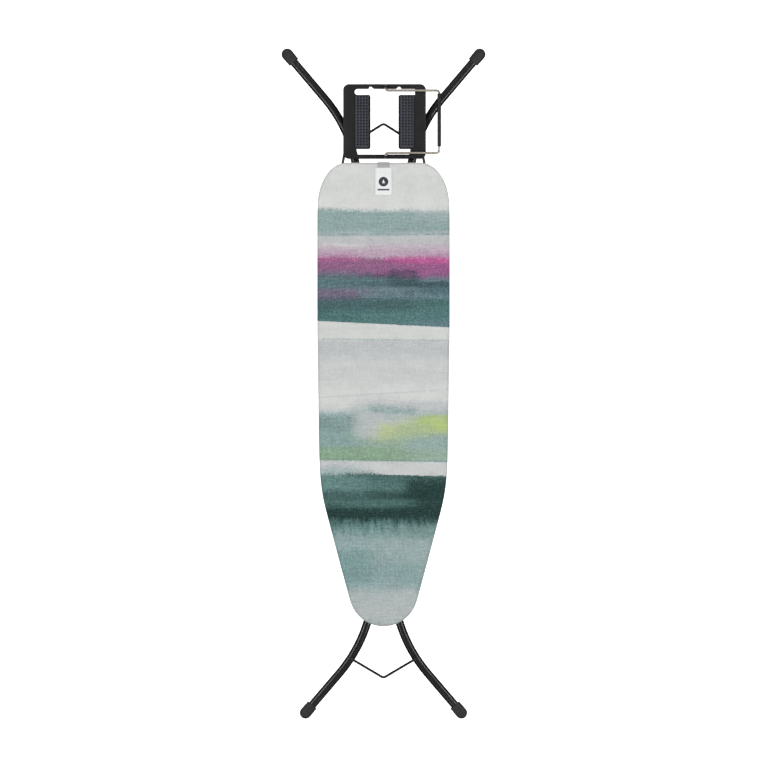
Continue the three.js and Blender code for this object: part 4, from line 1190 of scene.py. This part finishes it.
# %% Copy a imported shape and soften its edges
def packed_shape(node):
    """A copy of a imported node's mesh, merged, with its flat faces made whole."""
    piece = bpy.data.objects.new(node, frame["nodes"][node].data.copy())
    bpy.context.scene.collection.objects.link(piece)
    edit(piece)
    bpy.ops.mesh.select_all(action="SELECT")
    bpy.ops.mesh.remove_doubles(threshold=0.000002)
    bpy.ops.mesh.dissolve_limited(angle_limit=math.radians(0.5))
    leave()
    return piece


def softened(node, name, body, material, slot, width=0.35, segments=2):
    piece = packed_shape(node)
    round_edges(piece, width * MM, segments=segments)
    finish(piece, name, body, material, slot, [node])


for node in ("hinge_rib", "rail_front_rib", "rail_middle_rib", "rail_rear_rib", "rest_rib"):
    softened(node, "pressed_" + node, "board", *STEEL, 0.5)
for side in ("left", "right"):
    softened(f"guide_rail_{side}", f"folded_guide_rail_{side}", "board", *STEEL, 0.3)
    softened(f"rail_stop_{side}", f"rubber_rail_stop_{side}", "board", MOULDED_BLACK, "black_rubber", 1.2, 3)
    softened(f"leg_hinge_bracket_{side}", f"folded_hinge_bracket_{side}", "board", *STEEL, 0.4)
    softened(f"iron_rest_socket_{side}", f"moulded_rest_socket_{side}", "board", *PLASTIC, 1.0, 3)
    softened(f"outer_leg_lug_{side}", f"outer_leg_welded_lug_{side}", "outer_leg", *STEEL)
    softened(f"inner_leg_lug_{side}", f"inner_leg_welded_lug_{side}", "inner_leg", *STEEL)
    softened(f"glide_shoe_{side}", f"moulded_glide_shoe_{side}", "glides", *PLASTIC, 0.8, 3)
for end in ("front", "rear"):
    softened(f"lock_hinge_block_{end}", f"moulded_hinge_block_{end}", "board", *PLASTIC, 0.8, 3)
    softened(f"iron_stop_clip_{end}", f"moulded_stop_clip_{end}", "board", *PLASTIC, 0.6, 3)
softened("lock_bar", "notched_lock_bar", "release", *STEEL, 0.25)
softened("release_lever", "folded_release_lever", "release", *STEEL, 0.4)
print("sheet steel softened")

# %% [markdown]
# ## The release grip
# Fingers reach for this under the board. It is a moulded sleeve on the flat lever, and ribs across it stop
# them from sliding. One rib is modelled and arrayed along the sleeve, on its upper and its lower face.

# %% Grip and ribs
GRIP_RIBS, RIB_PITCH = 6, 4 * MM
grip_low, grip_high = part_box("release_grip")
grip = packed_shape("release_grip")
round_edges(grip, 1.6 * MM, segments=3)
ribs = [grip]
for height in (grip_low.z, grip_high.z):
    bpy.ops.object.select_all(action="DESELECT")
    middle_y = (grip_low.y + grip_high.y) / 2
    bpy.ops.mesh.primitive_cube_add(size=1, location=(grip_low.x + 6 * MM, middle_y, height))
    rib = bpy.context.object
    rib.scale = (1.4 * MM, grip_high.y - grip_low.y - 6 * MM, 1.0 * MM)
    take_in()
    round_edges(rib, 0.4 * MM)
    repeat(rib, GRIP_RIBS, (RIB_PITCH, 0, 0))
    ribs.append(rib)
finish(join_pieces(ribs), "ribbed_release_grip", "release", *PLASTIC, ["release_grip"])

# %% [markdown]
# ## Rods, tubes and rivet heads
# Rods, cross tubes and spacers are turned stock. A circle is extruded along its axis and scaled after each
# step, so a list of distances and radii draws a shank, its shoulder and its domed head, just as a lathe
# would.

# %% Turned pieces
def turned(axis, start, steps, sides=32, wall=None):
    """A lathed piece along X or Y. Steps are (distance from the start, radius), in metres."""
    turn = (0, math.pi / 2, 0) if axis == "X" else (-math.pi / 2, 0, 0)
    along = Vector((1, 0, 0)) if axis == "X" else Vector((0, 1, 0))
    bpy.ops.object.select_all(action="DESELECT")
    bpy.ops.mesh.primitive_circle_add(vertices=sides, radius=steps[0][1],
                                      location=Vector(start) + along * steps[0][0], rotation=turn)
    piece = bpy.context.object
    take_in()
    edit(piece)
    bpy.ops.mesh.select_mode(type="EDGE")
    bpy.ops.mesh.select_all(action="SELECT")
    if wall is None:
        bpy.ops.mesh.edge_face_add()
    for (before, thin), (distance, radius) in zip(steps, steps[1:]):
        bpy.ops.mesh.extrude_region_move(TRANSFORM_OT_translate={"value": along * (distance - before)})
        share = radius / thin
        bpy.ops.transform.resize(value=(1, share, share) if axis == "X" else (share, 1, share))
    leave()
    edit(piece)
    face_out()
    leave()
    if wall is not None:
        modify(piece, "SOLIDIFY", thickness=wall, offset=-1)
    return piece


def headed_rod(node, name, body, shank, head=5 * MM):
    """A rod across the board with a domed head on each end."""
    low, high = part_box(node)
    radius = (high.z - low.z) / 2
    start = (low.x, (low.y + high.y) / 2, (low.z + high.z) / 2)
    dome = [(0, radius * 0.25), (0.12 * head, radius * 0.55), (0.35 * head, radius * 0.82),
            (0.7 * head, radius * 0.97), (head - 0.2 * MM, radius), (head, radius * 0.98), (head, shank)]
    length = high.x - low.x
    steps = dome + [(length - distance, width) for distance, width in reversed(dome)]
    finish(turned("X", start, steps), name, body, *BRIGHT, [node])


def cross_tube(node, name, body, bore, material=POWDER_COAT, slot="black_powder_coat"):
    low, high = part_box(node)
    radius = (high.z - low.z) / 2
    edge = 0.4 * MM
    length = high.x - low.x
    steps = [(0, radius - edge), (edge, radius), (length - edge, radius), (length, radius - edge)]
    tube = turned("X", (low.x, (low.y + high.y) / 2, (low.z + high.z) / 2), steps, wall=radius - edge - bore)
    finish(tube, name, body, material, slot, [node])


headed_rod("leg_hinge_rod", "riveted_leg_hinge_rod", "board", 4 * MM, head=6 * MM)
headed_rod("crossing_rod", "riveted_crossing_rod", "outer_leg", 4 * MM)
cross_tube("outer_leg_hinge_tube", "outer_leg_cross_tube", "outer_leg", 5 * MM)
cross_tube("inner_leg_crossbar", "inner_leg_cross_tube", "inner_leg", 4.3 * MM)
for side in ("left", "right"):
    cross_tube(f"crossing_spacer_{side}", f"moulded_crossing_spacer_{side}", "outer_leg", 4.2 * MM, *PLASTIC)
axle_low, axle_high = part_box("glide_axle")
axle_length = axle_high.x - axle_low.x
axle = turned("X", (axle_low.x, (axle_low.y + axle_high.y) / 2, (axle_low.z + axle_high.z) / 2),
              [(0, 3.4 * MM), (0.6 * MM, 4 * MM), (axle_length - 0.6 * MM, 4 * MM), (axle_length, 3.4 * MM)])
finish(axle, "turned_glide_axle", "glides", *BRIGHT, ["glide_axle"])
pin_low, pin_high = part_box("lock_hinge_rod")
pin_length = pin_high.y - pin_low.y
pin = turned("Y", ((pin_low.x + pin_high.x) / 2, pin_low.y, (pin_low.z + pin_high.z) / 2),
             [(0, 2.1 * MM), (0.4 * MM, 2.5 * MM), (pin_length - 0.4 * MM, 2.5 * MM),
              (pin_length, 2.1 * MM)], sides=20)
finish(pin, "turned_lock_hinge_rod", "board", *BRIGHT, ["lock_hinge_rod"])

# %% [markdown]
# ## The lock spring
# A torsion spring presses the notched bar onto the crossbar. One small circle of wire is set beside the
# rod, and the Screw modifier carries it round and along.

# %% Coil
spring_low, spring_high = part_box("lock_spring")
WIRE = 0.7 * MM
TURNS = 10
bpy.ops.object.select_all(action="DESELECT")
bpy.ops.mesh.primitive_circle_add(vertices=10, radius=WIRE,
                                  location=((spring_high.x - spring_low.x) / 2 - WIRE, 0, 0))
take_in()
spring = bpy.context.object
spring.location = ((spring_low.x + spring_high.x) / 2, spring_low.y + WIRE,
                   (spring_low.z + spring_high.z) / 2)
modify(spring, "SCREW", axis="Y", angle=2 * math.pi,
       screw_offset=(spring_high.y - spring_low.y - 2 * WIRE) / TURNS, iterations=TURNS, steps=20,
       render_steps=20)
edit(spring)
bpy.ops.mesh.select_all(action="SELECT")
bpy.ops.mesh.fill_holes(sides=0)
face_out()
leave()
finish(spring, "coiled_lock_spring", "board", *BRIGHT, ["lock_spring"])

# %% [markdown]
# ## The iron rest
# A pressed plate with one wide opening carries the iron on two rubber pads. The inner edges of the strips
# are rolled over into a smooth rib, and a narrow line is pressed along the front and rear rails to stiffen
# them. Ribs and lines are small spheres drawn out long and squashed flat, which keeps their ends round.

# %% Plate, rolled edges and pressed lines
REST_TOP = 43.0 * MM
rest_plate = packed_shape("iron_rest_frame")
round_edges(rest_plate, 0.5 * MM, segments=2)
finish(rest_plate, "pressed_rest_plate", "board", SATIN_COAT, "satin_black_plate", ["iron_rest_frame"])


def pressed_line(start, heading, length, half_width, height):
    """A low, round-topped line on the plate."""
    bpy.ops.object.select_all(action="DESELECT")
    bpy.ops.mesh.primitive_uv_sphere_add(segments=16, ring_count=8, radius=half_width, location=(0, 0, 0),
                                         rotation=(0, math.pi / 2, 0))
    line = bpy.context.object
    take_in()
    edit(line)
    choose("VERT", lambda vert: vert.co.x > 1e-5)
    bpy.ops.transform.translate(value=(length - 2 * half_width, 0, 0))
    leave()
    line.scale = (1, 1, height / half_width)
    line.rotation_euler = (0, 0, heading)
    offset = Vector((math.cos(heading), math.sin(heading), 0)) * half_width
    line.location = Vector(start) + offset
    only(line)
    take_in()
    return line


STRIP_LOW, STRIP_HIGH = 564 * MM, 685 * MM
edges = [pressed_line((x * MM, STRIP_LOW, REST_TOP - 0.1 * MM), math.pi / 2, STRIP_HIGH - STRIP_LOW,
                      2.1 * MM, 1.2 * MM)
         for x in (-33.2, 37.9)]
finish(join_pieces(edges), "rolled_strip_edges", "board", SATIN_COAT, "satin_black_plate")
lines = [pressed_line((x * MM, y * MM, REST_TOP - 0.1 * MM), 0, length * MM, 0.8 * MM, 0.5 * MM)
         for x, y, length in ((-88, 709.6, 50), (46, 709.6, 46), (-88, 541.8, 80), (16, 541.8, 76))]
finish(join_pieces(lines), "pressed_rail_lines", "board", SATIN_COAT, "satin_black_plate")

# %% [markdown]
# ## The iron rest pads
# The pads are rubber with rows of square studs. A base block is bevelled, then one stud is made and arrayed
# across and along. The studs are darker than the base, so they are a piece of their own.

# %% Rubber pads and studs
STUD_PITCH_X, STUD_PITCH_Y = 7.1 * MM, 7.1 * MM
STUD_COLUMNS, STUD_ROWS = 4, 17
STUD_RISE = 0.5 * MM


def make_pad(side):
    node = f"iron_rest_pad_{side}"
    low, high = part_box(node)
    size = high - low
    bpy.ops.object.select_all(action="DESELECT")
    bpy.ops.mesh.primitive_cube_add(size=1, location=((low.x + high.x) / 2, (low.y + high.y) / 2,
                                                      (low.z + high.z - STUD_RISE) / 2))
    base = bpy.context.object
    base.scale = (size.x, size.y, size.z - STUD_RISE)
    take_in()
    edit(base)
    choose("EDGE", lambda edge: abs(edge.verts[0].co.z - edge.verts[1].co.z) > 1 * MM)
    bpy.ops.mesh.bevel(offset=2.2 * MM, segments=4)
    leave()
    round_edges(base, 0.9 * MM, segments=3)
    finish(base, f"rubber_rest_pad_{side}", "board", PAD_RUBBER, "black_rubber", [node])
    first_x = (low.x + high.x) / 2 + 0.8 * MM - STUD_PITCH_X * (STUD_COLUMNS - 1) / 2
    first_y = (low.y + high.y) / 2 + 1.6 * MM - STUD_PITCH_Y * (STUD_ROWS - 1) / 2
    bpy.ops.object.select_all(action="DESELECT")
    bpy.ops.mesh.primitive_cube_add(size=1, location=(first_x, first_y, high.z - STUD_RISE))
    stud = bpy.context.object
    stud.scale = (4.6 * MM, 4.9 * MM, 1.0 * MM)
    take_in()
    edit(stud)
    choose("FACE", lambda face: face.normal.z < -0.9)
    bpy.ops.mesh.delete(type="FACE")
    choose("FACE", lambda face: face.normal.z > 0.9)
    bpy.ops.transform.resize(value=(0.86, 0.88, 1))
    bpy.ops.mesh.inset(thickness=0.5 * MM, depth=-0.25 * MM)
    leave()
    repeat(stud, STUD_COLUMNS, (STUD_PITCH_X, 0, 0))
    repeat(stud, STUD_ROWS, (0, STUD_PITCH_Y, 0))
    finish(stud, f"pad_studs_{side}", "board", DOT_RUBBER, "black_rubber")


for side in ("left", "right"):
    make_pad(side)
print("pads with", STUD_COLUMNS * STUD_ROWS, "studs each")

# %% [markdown]
# ## The rods of the iron rest and the wire stop
# Two straight rods carry the rest on the board. The stop is one nickel plated wire with four bends, hung in
# two clips so that it swings over the iron's sole. A plastic sleeve on its far side keeps it from marking
# the plate.

# %% Rest rods, stop wire and sleeve
ROD_TOP, ROD_FOOT = Vector((86.3 * MM, 585 * MM)), Vector((111.9 * MM, 453 * MM))
ROD_RADIUS, ROD_Z = 3.2 * MM, 36 * MM
for side_name, side in SIDES:
    reach = ROD_FOOT - ROD_TOP
    rod = swept((side * ROD_TOP.x, ROD_TOP.y, ROD_Z), math.atan2(reach.y, side * reach.x), ROD_RADIUS,
                [("run", reach.length / 2), ("run", reach.length / 2)], sides=20)
    round_edges(rod, 0.6 * MM, segments=2, angle=60)
    finish(rod, f"bent_rest_rod_{side_name}", "board", *STEEL, [f"iron_rest_rod_{side_name}"])
STOP_X, STOP_BAR_X = 4.8 * MM, 133 * MM
STOP_REAR_Y, STOP_FRONT_Y = 699.4 * MM, 550.4 * MM
STOP_REAR_END_Y, STOP_FRONT_END_Y = 712.5 * MM, 537.5 * MM
STOP_BEND = 6.5 * MM
STOP_RADIUS, STOP_Z = 2.8 * MM, 46.3 * MM
across, along = STOP_BAR_X - STOP_X - 2 * STOP_BEND, STOP_REAR_Y - STOP_FRONT_Y - 2 * STOP_BEND
quarter = math.pi / 2
stop = swept((STOP_X, STOP_REAR_END_Y, STOP_Z), -quarter, STOP_RADIUS, [
    ("run", STOP_REAR_END_Y - STOP_REAR_Y - STOP_BEND), ("bend", STOP_BEND, quarter), ("run", across),
    ("bend", STOP_BEND, -quarter), ("run", along), ("bend", STOP_BEND, -quarter), ("run", across),
    ("bend", STOP_BEND, quarter), ("run", STOP_FRONT_Y - STOP_BEND - STOP_FRONT_END_Y)], sides=20)
round_edges(stop, 0.7 * MM, segments=2, angle=60)
finish(stop, "bent_stop_wire", "iron_stop", NICKEL, "nickel_wire", ["iron_stop_wire"])
sleeve_low, sleeve_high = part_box("iron_stop_sleeve")
sleeve_length = sleeve_high.y - sleeve_low.y
sleeve = turned("Y", (STOP_BAR_X, sleeve_low.y, STOP_Z),
                [(0, 2.9 * MM), (0, 3.9 * MM), (0.6 * MM, 4.5 * MM), (sleeve_length - 0.6 * MM, 4.5 * MM),
                 (sleeve_length, 3.9 * MM), (sleeve_length, 2.9 * MM)], sides=28)
finish(sleeve, "moulded_stop_sleeve", "iron_stop", *PLASTIC, ["iron_stop_sleeve"])

# %% [markdown]
# ## The sewn label
# A white woven label lies at the rear of the cover, and a grey tab is sewn in at the edge behind it. The
# label carries only a plain dark disc with an iron's outline, and a plain bar. Rows of stitches run down
# its two long sides.

# %% Label, disc, outline, bar, stitches and tab
def woven_tape(name, dark, light, threads):
    material, wiring, shader, where = new_material(name)
    woven = wiring.group(WEAVE, Vector=where, Threads=threads)
    tone = wiring.math("MULTIPLY_ADD", woven["Height"], 0.7, wiring.math("MULTIPLY", woven["Slub"], 0.3))
    wiring.put(shader.inputs["Base Color"], wiring.mix(tone, dark, light))
    wiring.put(shader.inputs["Roughness"], wiring.spread(woven["Slub"], 0.3, 0.7, 0.68, 0.82))
    shader.inputs["Specular IOR Level"].default_value = 0.25
    bump(wiring, shader, woven["Height"], 0.00008)
    return material


LABEL_WHITE = woven_tape("white woven label", srgb(226, 227, 227), srgb(246, 247, 247), 1800.0)
LABEL_DARK = woven_tape("dark woven mark", srgb(48, 49, 52), srgb(74, 75, 79), 1800.0)
TAB_GREY = woven_tape("grey woven tab", srgb(150, 151, 152), srgb(190, 191, 192), 1500.0)
label_low, label_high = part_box("cover_label")
PATCH_HEIGHT = 0.12 * MM


def flat_patch(vertices, radius, scale, place, corner=0.0):
    """A thin flat shape on the label: a circle, or a polygon with rounded corners."""
    bpy.ops.object.select_all(action="DESELECT")
    bpy.ops.mesh.primitive_circle_add(vertices=vertices, radius=radius * MM, fill_type="NGON",
                                      location=(0, 0, 0),
                                      rotation=(0, 0, math.pi / 4 if vertices == 4 else 0))
    piece = bpy.context.object
    piece.scale = (scale[0], scale[1], 1)
    take_in()
    if vertices == 4:
        piece.scale = (1, scale[2], 1)
        take_in()
    edit(piece)
    if corner:
        choose("VERT", lambda vert: True)
        bpy.ops.mesh.bevel(offset=corner * MM, segments=5, affect="VERTICES")
    bpy.ops.mesh.select_all(action="SELECT")
    bpy.ops.mesh.extrude_region_move(TRANSFORM_OT_translate={"value": (0, 0, PATCH_HEIGHT)})
    face_out()
    leave()
    piece.location = Vector(place)
    only(piece)
    take_in()
    return piece


label = packed_shape("cover_label")
edit(label)
choose("EDGE", lambda edge: abs(edge.verts[0].co.z - edge.verts[1].co.z) > 0.1 * MM)
bpy.ops.mesh.bevel(offset=1.2 * MM, segments=4)
leave()
round_edges(label, 0.2 * MM)
finish(label, "woven_cover_label", "board", LABEL_WHITE, "label_cloth", ["cover_label"])
LABEL_TOP = label_high.z - 0.02 * MM
DISC_Y, OUTLINE_Y, BAR_Y = 480.5 * MM, 480.2 * MM, 461.5 * MM
disc = flat_patch(48, 11.4, (1, 1), (0, DISC_Y, LABEL_TOP))
finish(disc, "label_disc", "board", LABEL_DARK, "label_cloth")
outline = flat_patch(3, 5.6, (0.78, 1.15), (0, OUTLINE_Y, LABEL_TOP + 0.1 * MM), corner=1.5)
finish(outline, "label_iron_outline", "board", LABEL_WHITE, "label_cloth")
BAR_HALF = 14
half_side = math.sqrt(0.5)  # of a square whose corners lie at a distance of one
bar = flat_patch(4, BAR_HALF / half_side, (1, 1, 0.13), (0, BAR_Y, LABEL_TOP), corner=0.5)
finish(bar, "label_plain_bar", "board", LABEL_DARK, "label_cloth")
STITCH_COUNT, STITCH_PITCH = 22, 2.85 * MM
stitches = []
for x in (label_low.x + 1.3 * MM, label_high.x - 1.3 * MM):
    bpy.ops.object.select_all(action="DESELECT")
    bpy.ops.mesh.primitive_uv_sphere_add(segments=8, ring_count=6, radius=0.5 * MM,
                                         location=(x, label_low.y + 2.4 * MM, LABEL_TOP))
    stitch = bpy.context.object
    stitch.scale = (0.5, 2.1, 0.5)
    take_in()
    repeat(stitch, STITCH_COUNT, (0, STITCH_PITCH, 0))
    stitches.append(stitch)
finish(join_pieces(stitches), "label_stitches", "board", TAB_GREY, "label_cloth")
tab = packed_shape("label_tab")
round_edges(tab, 0.25 * MM)
finish(tab, "woven_edge_tab", "board", TAB_GREY, "tab_cloth", ["label_tab"])

# %% [markdown]
# ## Finishes for what stays
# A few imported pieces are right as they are, above all the rim, which the hem hides. They only need their
# finish.

# %% Finishes by slot
BY_SLOT = {"black_powder_coat": POWDER_COAT, "black_plastic": MOULDED_BLACK, "black_rubber": PAD_RUBBER,
           "zinc_hardware": ZINC, "galvanised_mesh": GALVANISED, "felt_padding": FELT,
           "satin_black_plate": SATIN_COAT, "nickel_wire": NICKEL}
kept = []
for part in frame["record"]["subparts"]:
    for node_name, node in frame["nodes"].items():
        if part.get("node", part.get("name")) == node_name and not node.hide_render:
            kept.append(node_name)
            node.data.materials.clear()
            node.data.materials.append(BY_SLOT[part["material_slot"]])
print("kept as packed:", kept)

# %% Sizes for comparison, and the end
print(len(FINISHED), "pieces made,", sum(FINISHED.values()), "faces")
